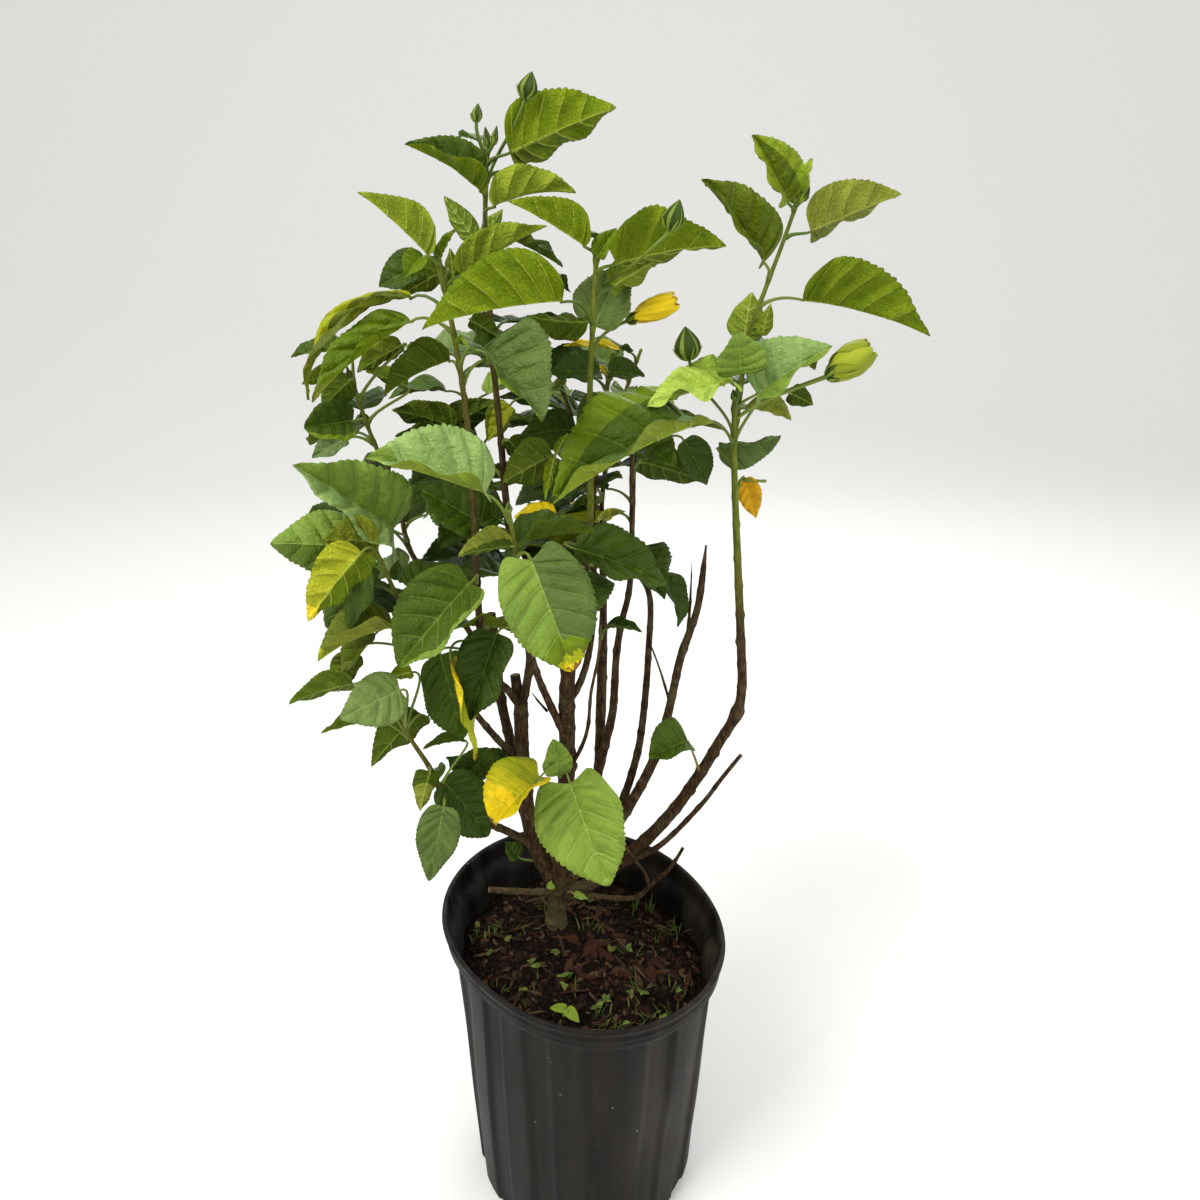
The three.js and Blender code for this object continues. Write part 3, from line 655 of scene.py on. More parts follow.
def put_leaf(B, T, width, cls, variant=None, zones=(), below=None, **kw):
    """One leaf in its piece. zones: tone, where (tip, edge, up, down), share, in the order laid on."""
    lf = leaf_mesh(B, T, width, **kw)
    seed = kw.get("seed", 0)
    rs = np.random.RandomState(seed + 99)
    k = rs.randint(len(TONES[cls])) if variant is None else variant
    mats = LEAF_MATS[(cls, k)]
    s = soup_for((B + T) / 2)
    sl = np.array([s.slot(m) for m in mats])
    low = sl if below is None else np.array([s.slot(m) for m in LEAF_MATS[(below, 0)]])
    mt = sl[lf["kind"]]
    mb = low[4 + lf["kind"]]
    q, t, up = lf["q"], lf["t"], lf["up"]
    ragged = 0.7 * grid_noise(q * 6, t * up * 3, seed + 31, 3) + 0.3 * rs.uniform(-1, 1, len(q))
    for tone, where, share in zones:
        if where == "tip":
            hit = q + 0.05 * ragged + 0.03 * t > 1 - share
        elif where == "edge":
            hit = t + 0.05 * ragged > 1 - share
        elif where in ("up", "down"):
            hit = (t * up * (1 if where == "up" else -1) + 0.04 * ragged) > 1 - share
        zs = np.array([s.slot(m) for m in LEAF_MATS[(tone, 0)]])
        mt = np.where(hit, zs[lf["kind"]], mt)
        mb = np.where(hit, zs[4 + lf["kind"]], mb)
    off = rs.uniform(0, 50, 2)
    s.add(lf["V"], np.concatenate([lf["top"], lf["bot"], lf["rim"]]), np.concatenate([mt, mb, np.full(len(lf["rim"]), sl[0])]), uv=lf["UV"] + off)
    LEAVES.append(lf)
    return lf


def petiole(stem, B, aim, r0=0.0013, r1=0.0009, tone=None, at_s=None, sag=0.3):
    """A leaf stalk from the nearest sensible spot on a stem to the leaf base."""
    P = PATH[stem]
    d = np.linalg.norm(P - B, axis=1)
    i = int(d.argmin())
    if at_s is None:
        want = 0.55 * d[i]
        back = ARC[stem][i] - want
        i = int(np.searchsorted(ARC[stem], max(back, 0.004)))
    i = min(max(i, 1), len(P) - 2)
    T = unit(P[i + 1] - P[i - 1])
    out = B - P[i]
    gap = np.linalg.norm(out)
    if gap < 0.002:
        return i
    dirn = unit(out)
    start = P[i] + unit(dirn - T * (dirn @ T)) * limb_radius(stem, ARC[stem][i]) * 0.5
    h0 = unit(0.6 * dirn + 0.5 * T) * gap * 0.36
    h1 = unit(aim) * gap * 0.34
    t = np.linspace(0, 1, max(6, int(gap / 0.004)))[:, None]
    p0, p1, p2, p3 = start, start + h0, B - h1, B + unit(aim) * 0.0012
    C = (1 - t) ** 3 * p0 + 3 * (1 - t) ** 2 * t * p1 + 3 * (1 - t) * t * t * p2 + t**3 * p3
    rr = np.linspace(r0, r1, len(C))
    rr[0] *= 1.5
    if len(rr) > 3:
        rr[1] *= 1.2
    s = SOUPS.setdefault("leaf_stalks", Soup())
    tube(s, GREEN[R.randrange(3) if tone is None else tone], C, rr, 7)
    NODES_AT.setdefault(stem, []).append(ARC[stem][i])
    return i


# name, stem, base px py, tip px py, base depth, tip depth change, roll (0 the
# top face looks at the view, 90 edge on and facing up, 180 the underside),
# fold, bend, width over length, tone.
HERO = """
t1a A1 510 153 616 107 .000 .010 150 33 12 .72 yng
t1b A1 481 192 405 144 .000 -.030 62 52 26 .62 mid
t1c A1 494 207 576 193 -.020 .010 98 58 30 .68 brt
t1d A1 474 239 444 196 .000 -.005 170 15 8 .50 pal
t1e A1 484 238 503 209 .016 .005 175 15 8 .50 pal
t3a A2 428 256 358 192 -.040 -.010 100 52 12 .70 brt
t3b A2 441 256 455 229 -.038 .000 60 40 10 .55 yng
t3c A2 462 275 547 226 -.030 -.010 104 58 10 .52 brt
t3d A2 426 264 379 287 -.010 .000 30 20 30 .80 drk
t3e A2 422 258 405 278 -.045 -.010 20 40 50 1.0 yng
t3f A2 446 270 398 297 -.020 .005 150 20 15 .55 mid
t3g A2 455 287 450 248 -.010 .010 175 15 10 .50 mid
t2a trunk 585 247 508 201 -.030 -.005 100 52 12 .66 yng
t2b trunk 598 257 616 228 -.030 .000 20 35 15 .75 yng
t2c trunk 616 265 726 246 -.030 .000 128 28 20 .78 yng
t2d trunk 612 287 673 252 -.012 .020 150 24 15 .55 brt
t2e trunk 562 302 422 329 -.050 -.020 97 62 16 .72 yng
t2f trunk 594 326 622 268 .000 .020 12 28 12 .95 gry
t2g trunk 588 322 527 316 -.020 .010 -130 20 20 .60 drk
t2h A2 482 348 543 421 -.050 -.046 34 46 10 .98 sft
t4a A2 411 321 312 402 -.042 -.030 60 50 24 .43 yng
t4a2 A2 411 298 308 400 -.030 -.012 66 24 92 .20 olv
t4b B2 345 350 291 357 .020 -.010 60 30 20 .70 mid
t4c A2 450 361 384 396 -.022 -.020 104 52 24 .80 drk
t4d B2 402 345 357 372 .028 -.010 140 25 15 .65 mid
t4e B2 407 386 366 371 .042 .005 140 25 10 .60 mid
t4f B2 350 380 322 409 .020 -.010 160 20 15 .85 mid
t4g B2 334 372 302 384 .030 -.010 150 20 15 .60 mid
t4h B2 353 421 304 428 .015 -.020 14 22 12 1.02 drk
t4i B2 347 438 312 458 .030 -.005 24 28 15 .66 gry
t4j B2 366 424 360 412 .033 .000 20 20 10 .90 mid
n1a N1 455 427 392 410 .130 -.020 150 20 20 .60 drk
n1b N1 468 440 395 436 .135 -.020 140 20 20 .55 drk
n1c N1 446 430 497 401 .140 .000 160 20 20 .60 drk
c1a C1 486 494 365 458 -.078 -.015 50 50 12 .86 pal
l28 B2 393 530 293 465 .000 -.045 26 40 14 .76 lit
l29 L 354 548 270 544 -.028 -.016 22 14 24 .92 mid
l30 L 377 543 322 540 -.045 -.010 148 18 20 1.0 olv
l31 L 362 552 308 621 -.066 -.012 160 25 22 .66 yng
l32 L 364 566 333 640 -.032 .000 25 20 22 .60 mid
l33 L 393 627 318 661 -.035 -.020 62 50 32 .80 olv
l34 L 375 634 341 681 -.022 -.005 58 34 10 .62 dol
l34b L 352 655 338 692 -.012 .000 165 22 12 .75 mid
c35 A2 471 583 399 667 -.040 -.020 30 32 10 .82 mid
c36 C1 497 633 469 721 -.045 -.010 12 32 12 .66 drk
c37 A2 440 655 463 739 -.012 .010 10 20 10 .62 drk
c38 A2 451 661 476 761 -.055 .000 74 12 8 .44 yel
m39 M 400 690 339 719 -.042 -.020 0 10 16 .80 gry
m40 M 353 684 289 704 -.035 -.015 128 22 20 .62 mid
m41 M 372 722 321 733 -.025 -.010 112 30 18 .60 mid
m42 M 420 714 371 766 -.026 .000 155 22 26 .54 drk
m43 M 430 772 420 811 -.032 .000 170 30 30 .62 drk
m44 M 444 806 429 881 -.030 -.010 4 12 10 .48 sft
m45 M 443 781 489 836 -.010 .010 18 20 18 .70 drk
m46 M 470 776 446 757 .010 .000 20 25 10 .75 drk
m46b M 466 772 487 747 .014 .000 30 30 10 .70 drk
m47 M 464 741 423 749 .010 .000 104 30 20 .60 drk
k48 trunk 540 777 494 825 -.020 -.020 46 36 20 1.22 ylm
k49 trunk 558 775 553 739 .000 -.005 5 24 14 .72 lit
k50 trunk 570 783 609 886 -.012 -.030 -16 20 12 .82 lit
g51 G 688 741 649 759 .018 -.010 30 42 24 1.35 mid
k52 C1 531 559 574 672 -.092 -.020 4 10 10 .80 sft
k53 C2 575 549 669 586 -.030 .010 40 28 22 .62 drk
e54 E 660 577 678 627 .040 -.010 58 28 50 .75 drk
d55 C3 607 628 642 632 .010 -.005 70 30 26 .75 drk
k56 C1 517 542 596 532 -.075 .030 74 42 12 .70 drk
k57 C1 513 546 458 556 -.078 -.005 122 26 16 .85 drk
k58 C2 554 525 514 517 -.012 .000 34 20 24 1.0 yel
k59 C2 553 455 503 482 .005 -.010 160 18 14 .90 mid
k59b C2 556 453 568 433 .004 .000 150 20 8 .40 yng
k59c C2 554 458 545 500 .000 -.010 150 20 8 .30 yng
g60 G 694 425 552 504 -.025 -.055 56 54 18 .78 mid
g61 G 733 382 647 407 .000 -.030 44 32 12 .60 frp
g62 G 741 374 737 331 -.004 -.006 4 24 12 1.3 lit
g63 G 757 394 832 346 .002 -.020 40 36 12 .92 pal
g64 G 745 408 791 420 .030 .010 112 28 20 .80 olv
g65 G 790 393 813 405 .034 .000 170 20 20 .90 drk
g66 G 719 447 781 436 .030 .000 -50 36 18 .80 sft
g67 G 745 478 756 518 .030 -.005 4 15 12 .58 org
e68 E 640 440 677 467 .000 -.020 20 24 16 .90 mid
e68b E 684 440 707 485 .040 .005 25 22 14 .70 drk
e68c E 640 462 704 481 .050 .010 150 20 12 .62 drk
g69 T5 744 338 752 292 .022 .005 178 14 10 .85 fre
g70 T5 762 335 771 303 .016 .002 178 14 10 .50 brt
g71 T5 803 300 930 336 .000 -.020 97 58 18 .72 yng
g72 T5 811 232 901 194 .000 .000 140 34 8 .76 olv
g73 T5 788 203 752 135 -.006 -.005 36 42 10 .80 dol
g74 T5 796 202 812 158 .000 .002 30 30 10 .55 fre
g75 T5 764 262 702 179 -.012 -.010 40 50 14 .70 dol
e80 C2 619 350 563 346 .030 .000 70 20 20 .32 yel
e81 C2 600 372 549 374 .020 -.010 40 24 20 .80 drk
e82 C2 608 372 645 376 .020 .000 40 24 24 .80 drk
e83 C2 603 398 577 428 .000 -.010 20 20 14 .75 mid
d84 D1 510 405 488 441 .110 .000 30 20 14 .78 ylm
d85 D1 575 430 520 436 .080 -.010 25 20 20 .80 drk
d86 A1 481 524 419 489 .010 -.010 25 20 14 .85 drk
d87 A1 500 520 462 500 .020 .000 25 20 14 .80 drk
m88 M 412 672 388 677 -.030 .000 150 20 12 .80 yng
b89 B2 398 580 398 560 .036 .000 30 20 12 .80 mid
b90 B2 402 603 372 598 .036 .000 70 25 12 .60 mid
c91 A1 545 345 505 330 .012 .000 160 20 12 .70 mid
c92 A1 470 320 500 338 .006 .000 160 22 14 .75 mid
c93 A1 508 440 536 470 .010 .000 150 20 12 .75 drk
e80b C2 612 379 590 362 .024 .000 70 20 12 .42 yel
s1 A 518 857 505 842 .052 .000 20 20 12 .95 mid
s2 trunk 551 889 551 880 .042 .000 10 12 10 .80 lit
s3 trunk 574 894 588 899 .040 .000 20 12 10 .50 lit
"""
# Leaves with a yellowed margin or tip, or curled margins.
TURNED = {
    "k48": dict(heart=.15, full=1.1, zones=[("ymm", "tip", .60), ("yel", "tip", .34), ("yel", "down", .30), ("brn", "tip", .02)]),
    "k49": dict(full=1.0, heart=.0), "k57": dict(zones=[("olv", "up", .58)]), "t1a": dict(heart=.0),
    "c38": dict(full=.8, zones=[("ylm", "tip", .55), ("brn", "tip", .02)]),
    "l31": dict(zones=[("olv", "up", 1.05), ("ylm", "up", .92), ("yel", "tip", .10)]),
    "l30": dict(zones=[("ylm", "down", .25)]),
    "l33": dict(zones=[("ylm", "tip", .10)]),
    "t4a2": dict(zones=[("ylm", "up", .40)]), "t4a": dict(curl=-10, heart=.02, below="yng", zones=[("olv", "tip", .12)]),
    "k52": dict(heart=.12, full=.6, zones=[("lit", "down", .96), ("yng", "tip", .18), ("olv", "tip", .12), ("ylm", "tip", .085), ("yel", "tip", .04), ("brn", "tip", .018)]),
    "k50": dict(heart=.12, full=.2),
    "l28": dict(heart=.07, zones=[("pal", "down", .96)]), "c35": dict(heart=.07, full=.5, zones=[("lit", "down", .17)]),
    "t4h": dict(heart=.09, curl=30, full=1.2, zones=[("yng", "down", .17)]), "g63": dict(heart=.06, zones=[("lit", "down", .97)]), "t2c": dict(heart=.06),
    "g61": dict(wave=1.8), "t1c": dict(curl=40, zones=[("fre", "up", .95), ("brt", "tip", .34)]), "t2a": dict(curl=16), "t2e": dict(curl=12, below="yng", zones=[]),
    "t2h": dict(heart=.05, full=.4, zones=[("yng", "down", .16)]), "c1a": dict(below="lit", heart=.06, zones=[("lit", "tip", .12)]),
    "l29": dict(curl=-18, zones=[("lit", "up", .96)]), "m44": dict(curl=-10), "m39": dict(curl=-14, heart=.07),
    "g60": dict(curl=-26, below="brt", zones=[("yng", "up", .30)]), "g71": dict(curl=10), "t3c": dict(curl=18),
    "m43": dict(zones=[("olv", "tip", .45)]), "d84": dict(zones=[("olv", "edge", .2)]), "g73": dict(full=.3, heart=.0, zones=[("brt", "down", .97), ("brt", "up", .34)]), "g75": dict(heart=.0), "t1b": dict(below="yng", curl=14, heart=.0),
}
# Stalks that run straight from a point on the stem.
STRAIGHT = {"g51": (700, 773, .0435), "s2": (552, 893, .050), "s3": (568, 892, .046)}
seed = 100
for row in HERO.strip().splitlines():
    w = row.split()
    bx, by, tx, ty, yb, dy, roll, fold, bend, wr = map(float, w[2:12])
    B, T = at(bx, by, yb), at(tx, ty, yb + dy)
    L = np.linalg.norm(T - B)
    rs = np.random.RandomState(seed)
    opt = dict(twist=rs.uniform(-10, 10), wave=rs.uniform(0.5, 1.0), shape=rs.uniform(-0.2, 0.3))
    opt.update(TURNED.get(w[0], {}))
    lf = put_leaf(B, T, L * wr, w[12], roll=roll, fold=fold, bend=bend, seed=seed, **opt)
    splat(lf["poly"])
    if w[0] in STRAIGHT:
        foot = at(*STRAIGHT[w[0]])
        mid_ = (foot + B) / 2 + np.array([0, 0, 0.0015])
        tube(SOUPS.setdefault("leaf_stalks", Soup()), GREEN[3], np.array([foot, 0.5 * (foot + mid_), mid_, 0.5 * (mid_ + B), B]), np.array([.0016, .0012, .0011, .0010, .0009]), 7)
    else:
        petiole(w[1], B, T - B)
    seed += 1

HERO_MASK = MASK.copy()

# --------------------------------------------- leaves by rule along the limbs
# stem, where along it the leaves start, how many turns of leaves, size.
SHOOTS = [
    ("N1", 0.56, 17, 0.078, True), ("N2", 0.60, 17, 0.078, True), ("D1", 0.60, 16, 0.076, True), ("D2", 0.62, 15, 0.072, True),
    ("E", 0.66, 10, 0.066, False), ("C2", 0.52, 10, 0.066, False), ("trunk", 0.58, 12, 0.07, False), ("A1", 0.42, 13, 0.07, False),
    ("A2", 0.36, 12, 0.068, False), ("B2", 0.40, 13, 0.066, False), ("L", 0.55, 8, 0.06, False), ("M", 0.50, 6, 0.052, False),
    ("C1", 0.55, 7, 0.06, False), ("G", 0.74, 10, 0.068, False), ("T5", 0.20, 8, 0.06, False),
]
# Open gaps in the view, as middle and radius.
OPEN = [(472, 203, 18), (425, 655, 12), (353, 645, 12), (668, 318, 26), (655, 365, 22), (690, 395, 20), (720, 452, 22), (640, 530, 26), (700, 520, 26), (660, 700, 60), (700, 620, 30), (590, 760, 50), (520, 450, 14), (800, 320, 24), (770, 310, 16), (720, 300, 18), (460, 700, 14), (425, 640, 14), (540, 300, 12)]


def hidden_enough(pts, share):
    p = seen(pts)
    for x, y in p:
        for ox, oy, orad in OPEN:
            if (x - ox) ** 2 + (y - oy) ** 2 < orad**2:
                return False
    c = np.clip((p / 4).astype(int), 0, 299)
    return (HERO_MASK[c[:, 1], c[:, 0]] + 0.006 < (pts - CAM) @ FW).mean() >= share


def clear_of_others(pts, gap):
    for lf in LEAVES:
        P = lf["sparse"] if "sparse" in lf else lf.setdefault("sparse", lf["poly"][::4, ::3].reshape(-1, 3))
        if abs(P[:, 0].mean() - pts[:, 0].mean()) > 0.12:
            continue
        d = np.linalg.norm(P[None] - pts[:, None], axis=2)
        if d.min() < gap:
            return False
    return True


placed = 0
for stem, start, count, size, behind in SHOOTS:
    P, S = PATH[stem], ARC[stem]
    total = S[-1]
    for i in range(count):
        u = i / max(1, count - 1)
        s = total * (start + (0.995 - start) * u)
        k = min(int(np.searchsorted(S, s)), len(P) - 2)
        k = max(k, 1)
        axis = unit(P[k + 1] - P[k - 1])
        for attempt in range(7):
            az = i * 2.4 + attempt * 0.9 + R.uniform(-0.3, 0.3)
            e1 = unit(np.cross(axis, [0.3, 1, 0.2]))
            e2 = np.cross(axis, e1)
            out = math.cos(az) * e1 + math.sin(az) * e2
            flat = unit(np.array([out[0], out[1], 0.15 * out[2]]) + 1e-6)
            L = size * (1.08 - 0.45 * u**2) * R.uniform(0.82, 1.15)
            if u > 0.9:
                L *= 0.6
            pet = L * R.uniform(0.25, 0.42)
            B = P[k] + unit(out + 0.75 * axis) * (pet + 0.004)
            tilt = R.uniform(-0.55, 0.25)
            T = B + unit(flat + np.array([0, 0, tilt])) * L
            side = np.cross(unit(T - B), [0, 0, 1.0])
            pts = np.array([B, B + 0.5 * (T - B), T, B + 0.4 * (T - B) + side * L * 0.3, B + 0.4 * (T - B) - side * L * 0.3, B + 0.75 * (T - B)])
            if (pts < CAD_LO + 0.002).any() or (pts > CAD_HI - 0.002).any():
                continue
            if not hidden_enough(pts, 0.66 if behind else 0.84):
                continue
            if not clear_of_others(pts, 0.007 if behind else 0.009):
                continue
            nrm = np.array([0, 0, 1.0]) + 0.35 * NR.uniform(-1, 1, 3)
            cls = R.choice(["drk", "drk", "mid", "mid", "mid", "gry"] if u < 0.75 or not behind else ["mid", "mid", "yng", "lit"])
            if R.random() < 0.05 and behind:
                cls = "ylm"
            put_leaf(B, T, L * R.uniform(0.62, 0.82), cls, normal=nrm, fold=R.uniform(8, 34), bend=R.uniform(6, 34), twist=R.uniform(-14, 14), wave=R.uniform(0.5, 1.1), curl=R.uniform(-16, 12), shape=R.uniform(-0.2, 0.3), seed=seed)
            petiole(stem, B, T - B)
            seed += 1
            placed += 1
            break
print("leaves by rule:", placed, "all leaves:", len(LEAVES))

# --------------------------------------------------------- stems with bark
bark = new_mat("bark", rgb(70, 52, 34), 0.8, 0.10)
age = node(bark, "ShaderNodeAttribute", attribute_name="wood").outputs["Fac"]
oc = coords(bark)
n1 = noise(bark, scaled(bark, oc, (1, 1, 0.25)), 420.0, 5.0)
n2 = noise(bark, oc, 60.0, 3.0)
n3 = noise(bark, oc, 1400.0, 2.0)
woody = ramp(bark, n1, [(0.30, rgb(32, 21, 12)), (0.48, rgb(57, 41, 25)), (0.62, rgb(78, 59, 39)), (0.75, rgb(106, 87, 62))])
lichen = ramp(bark, n3, [(0.35, rgb(62, 60, 34)), (0.65, rgb(108, 104, 72))])
patch = ramp(bark, n2, [(0.52, (0, 0, 0, 1)), (0.62, (1, 1, 1, 1))])
woody = mixc(bark, math_node(bark, "MULTIPLY", patch, 0.40), woody, lichen)
sep = node(bark, "ShaderNodeSeparateXYZ")
link(bark, oc, sep.inputs[0])
foot_moss = ramp(bark, math_node(bark, "ADD", sep.outputs[2], math_node(bark, "MULTIPLY", n2, 0.11)), [(0.300, (0.85, 0.85, 0.85, 1)), (0.375, (0, 0, 0, 1))])
woody = mixc(bark, foot_moss, woody, lichen)
vor = node(bark, "ShaderNodeTexVoronoi")
vor.inputs["Scale"].default_value = 330.0
link(bark, scaled(bark, oc, (1, 1, 0.7)), vor.inputs["Vector"])
spots = ramp(bark, vor.outputs["Distance"], [(0.13, (1, 1, 1, 1)), (0.19, (0, 0, 0, 1))])
woody = mixc(bark, math_node(bark, "MULTIPLY", spots, 0.42), woody, rgb(128, 108, 78))
greenish = ramp(bark, n1, [(0.35, rgb(84, 94, 26)), (0.65, rgb(110, 120, 46))])
oliv = ramp(bark, n1, [(0.35, rgb(74, 72, 26)), (0.65, rgb(102, 94, 44))])
c_low = mixc(bark, ramp(bark, age, [(0.03, (0, 0, 0, 1)), (0.30, (1, 1, 1, 1))]), greenish, oliv)
c_all = mixc(bark, ramp(bark, age, [(0.30, (0, 0, 0, 1)), (0.62, (1, 1, 1, 1))]), c_low, woody)
pb = bark.node_tree.nodes["Principled BSDF"]
link(bark, c_all, pb.inputs["Base Color"])
hb = bump(bark, n1, 0.5, 0.0012)
link(bark, bump(bark, spots, 0.4, 0.0005, hb), pb.inputs["Normal"])
cutwood = new_mat("cut_wood", rgb(150, 128, 92), 0.8, 0.2)
cw = noise(cutwood, coords(cutwood), 900.0, 3.0)
link(cutwood, ramp(cutwood, cw, [(0.35, rgb(112, 92, 64)), (0.65, rgb(176, 156, 118))]), cutwood.node_tree.nodes["Principled BSDF"].inputs["Base Color"])

STEM = Soup()
WOODY = {"trunk": 1.5, "G": 3.5, "E": 9.0, "D1": 6.0, "D2": 9.0, "N1": 5.0, "N2": 6.0, "C2": 5.0, "C3": 0.8, "A2": 1.6, "B2": 1.6}
order = list(LIMBS)
GREEN_FROM = {"trunk": (0.56, 0.18), "G": (0.52, 0.32)}
for idx, k in enumerate(order):
    parent, _, r0, r1, w0, w1 = LIMBS[k]
    P, S = PATH[k].copy(), ARC[k]
    if parent is None:
        P[0][2] = min(P[0][2], SOIL_Z)
        below = P[0] + np.array([0, 0, -0.012])
        P = np.concatenate([[below, P[0] + [0, 0, -0.005]], P])
        S = np.concatenate([[0, 0.001], S + 0.002])
    rad = limb_radius(k, S)
    if parent is None:
        h = P[:, 2] - SOIL_Z
        rad = rad + 0.0030 * np.clip(1 - h / 0.018, 0, 1.3) ** 2
    if k in ("F", "F2"):
        rad = rad * np.clip((S[-1] - S) / .030, .12, 1) ** .5
    sides = 22 if r0 > 8 else 16 if r0 > 4 else 12
    # swellings and scars where leaves sit or sat
    spots_at = sorted(NODES_AT.get(k, []))
    pos = 0.015
    while pos < S[-1]:
        if all(abs(pos - q) > 0.012 for q in spots_at):
            spots_at.append(pos)
        pos += R.uniform(0.018, 0.034)
    spot = np.array([(q, R.uniform(0, 6.28), R.uniform(0.6, 1.3)) for q in spots_at]) if spots_at else np.zeros((0, 3))
    sd = 50 + idx
    knot = S[int(np.linalg.norm(P - at(736, 714, .035), axis=1).argmin())] if k == "G" else None

    def relief(i, a, S=S, rad=rad, spot=spot, sd=sd, w0=w0, w1=w1, knot=knot):
        s = S[i]
        r = rad[i]
        wood = w0 + (w1 - w0) * s / S[-1]
        out = r * 0.055 * grid_noise(s * 900, a * 3.0, sd, 3) * (0.3 + wood) + r * 0.06 * grid_noise(s * 90, a * 1.0, sd + 7, 2)
        for q, ph, am in spot:
            near = np.exp(-(((s - q) / 0.0028) ** 2))
            if near.max() < 1e-3:
                continue
            out = out + near * am * (0.06 * r + 0.00018 + (0.19 * r) * np.clip(np.cos(a - ph), 0, 1) ** 3)
        if knot is not None:
            out = out + 0.0016 * np.exp(-(((s - knot) / 0.0085) ** 2)) * (1 + 0.3 * np.cos(a - 1))
        return out

    wood = w0 + (w1 - w0) * np.clip(S / S[-1], 0, 1) ** WOODY.get(k, 2.2)
    if k in GREEN_FROM:  # bark low down, green above
        lo_, wide_ = GREEN_FROM[k]
        up_ = np.clip((S / S[-1] - lo_) / wide_, 0, 1)
        wood = 1 - up_ * up_ * (3 - 2 * up_)
    col = idx % 10
    rw = idx // 10
    box = (col / 10 + 0.004, rw / 3 + 0.004, (col + 1) / 10 - 0.004, (rw + 1) / 3 - 0.004)
    tube(STEM, bark, P, rad, sides, True, False, relief, box, wood)
    # the tip: a sawn face on a cut limb, a rounded end on a shoot
    Tn = unit(P[-1] - P[-3])
    cutend = k in ("A3", "B", "H", "K", "J", "J2")
    ring = len(P) - 1
    _, Sx, Nx = frames(P)
    a = np.arange(sides) / sides * 2 * np.pi
    r = rad[-1] + relief(np.array([[len(P) - 1]]), a[None, :])[0]
    base = P[-1] + r[:, None] * (np.cos(a)[:, None] * Sx[-1] + np.sin(a)[:, None] * Nx[-1])
    if cutend:
        slope = unit(Sx[-1] * 0.6 + Nx[-1] * 0.3)
        mid = P[-1] + Tn * 0.0003
        inner = P[-1] + (base - P[-1]) * 0.82 + Tn * 0.0004
        v = np.concatenate([base, inner, [mid]])
        jj = np.arange(sides)
        q = np.stack([jj, (jj + 1) % sides, sides + (jj + 1) % sides, sides + jj], -1)
        t = np.stack([np.full(sides, 2 * sides), sides + jj, sides + (jj + 1) % sides], -1)
        STEM.add(v, q, STEM.slot(bark), t, STEM.slot(cutwood), np.full((len(v), 2), 0.5), np.full(len(v), 1.0))
    else:
        mid = P[-1] + Tn * r.mean() * 1.1
        inner = P[-1] + (base - P[-1]) * 0.7 + Tn * r.mean() * 0.7
        v = np.concatenate([base, inner, [mid]])
        jj = np.arange(sides)
        q = np.stack([jj, (jj + 1) % sides, sides + (jj + 1) % sides, sides + jj], -1)
        t = np.stack([np.full(sides, 2 * sides), sides + jj, sides + (jj + 1) % sides], -1)
        STEM.add(v, q, STEM.slot(bark), t, STEM.slot(bark), np.full((len(v), 2), 0.5), np.full(len(v), w1))

# ------------------------------------------------------ buds and blossom
BUDS = Soup()
bud_g = new_mat("bud_green", rgb(116, 132, 52), 0.55, 0.12)
bud_d = new_mat("bud_rib", rgb(52, 70, 20), 0.55, 0.12)
bud_y = new_mat("bud_petal", rgb(146, 156, 34), 0.55, 0.15, 0.1)
# bud_petal_shade is the petal colour darkened: painted shade on some of the petals.
petal_painted_shade = new_mat("bud_petal_shade", rgb(124, 136, 24), 0.6, 0.15, 0.1)
wither = new_mat("withered_petal", rgb(226, 196, 14), 0.65, 0.2, 0.15)
wither2 = new_mat("withered_petal_brown", rgb(214, 178, 10), 0.7, 0.2, 0.1)
for mt in (bud_g, bud_d, bud_y, petal_painted_shade, wither, wither2):
    link(mt, bump(mt, noise(mt, scaled(mt, coords(mt), (1, 1, 0.3)), 600.0, 3.0), 0.3, 0.0008), mt.node_tree.nodes["Principled BSDF"].inputs["Normal"])


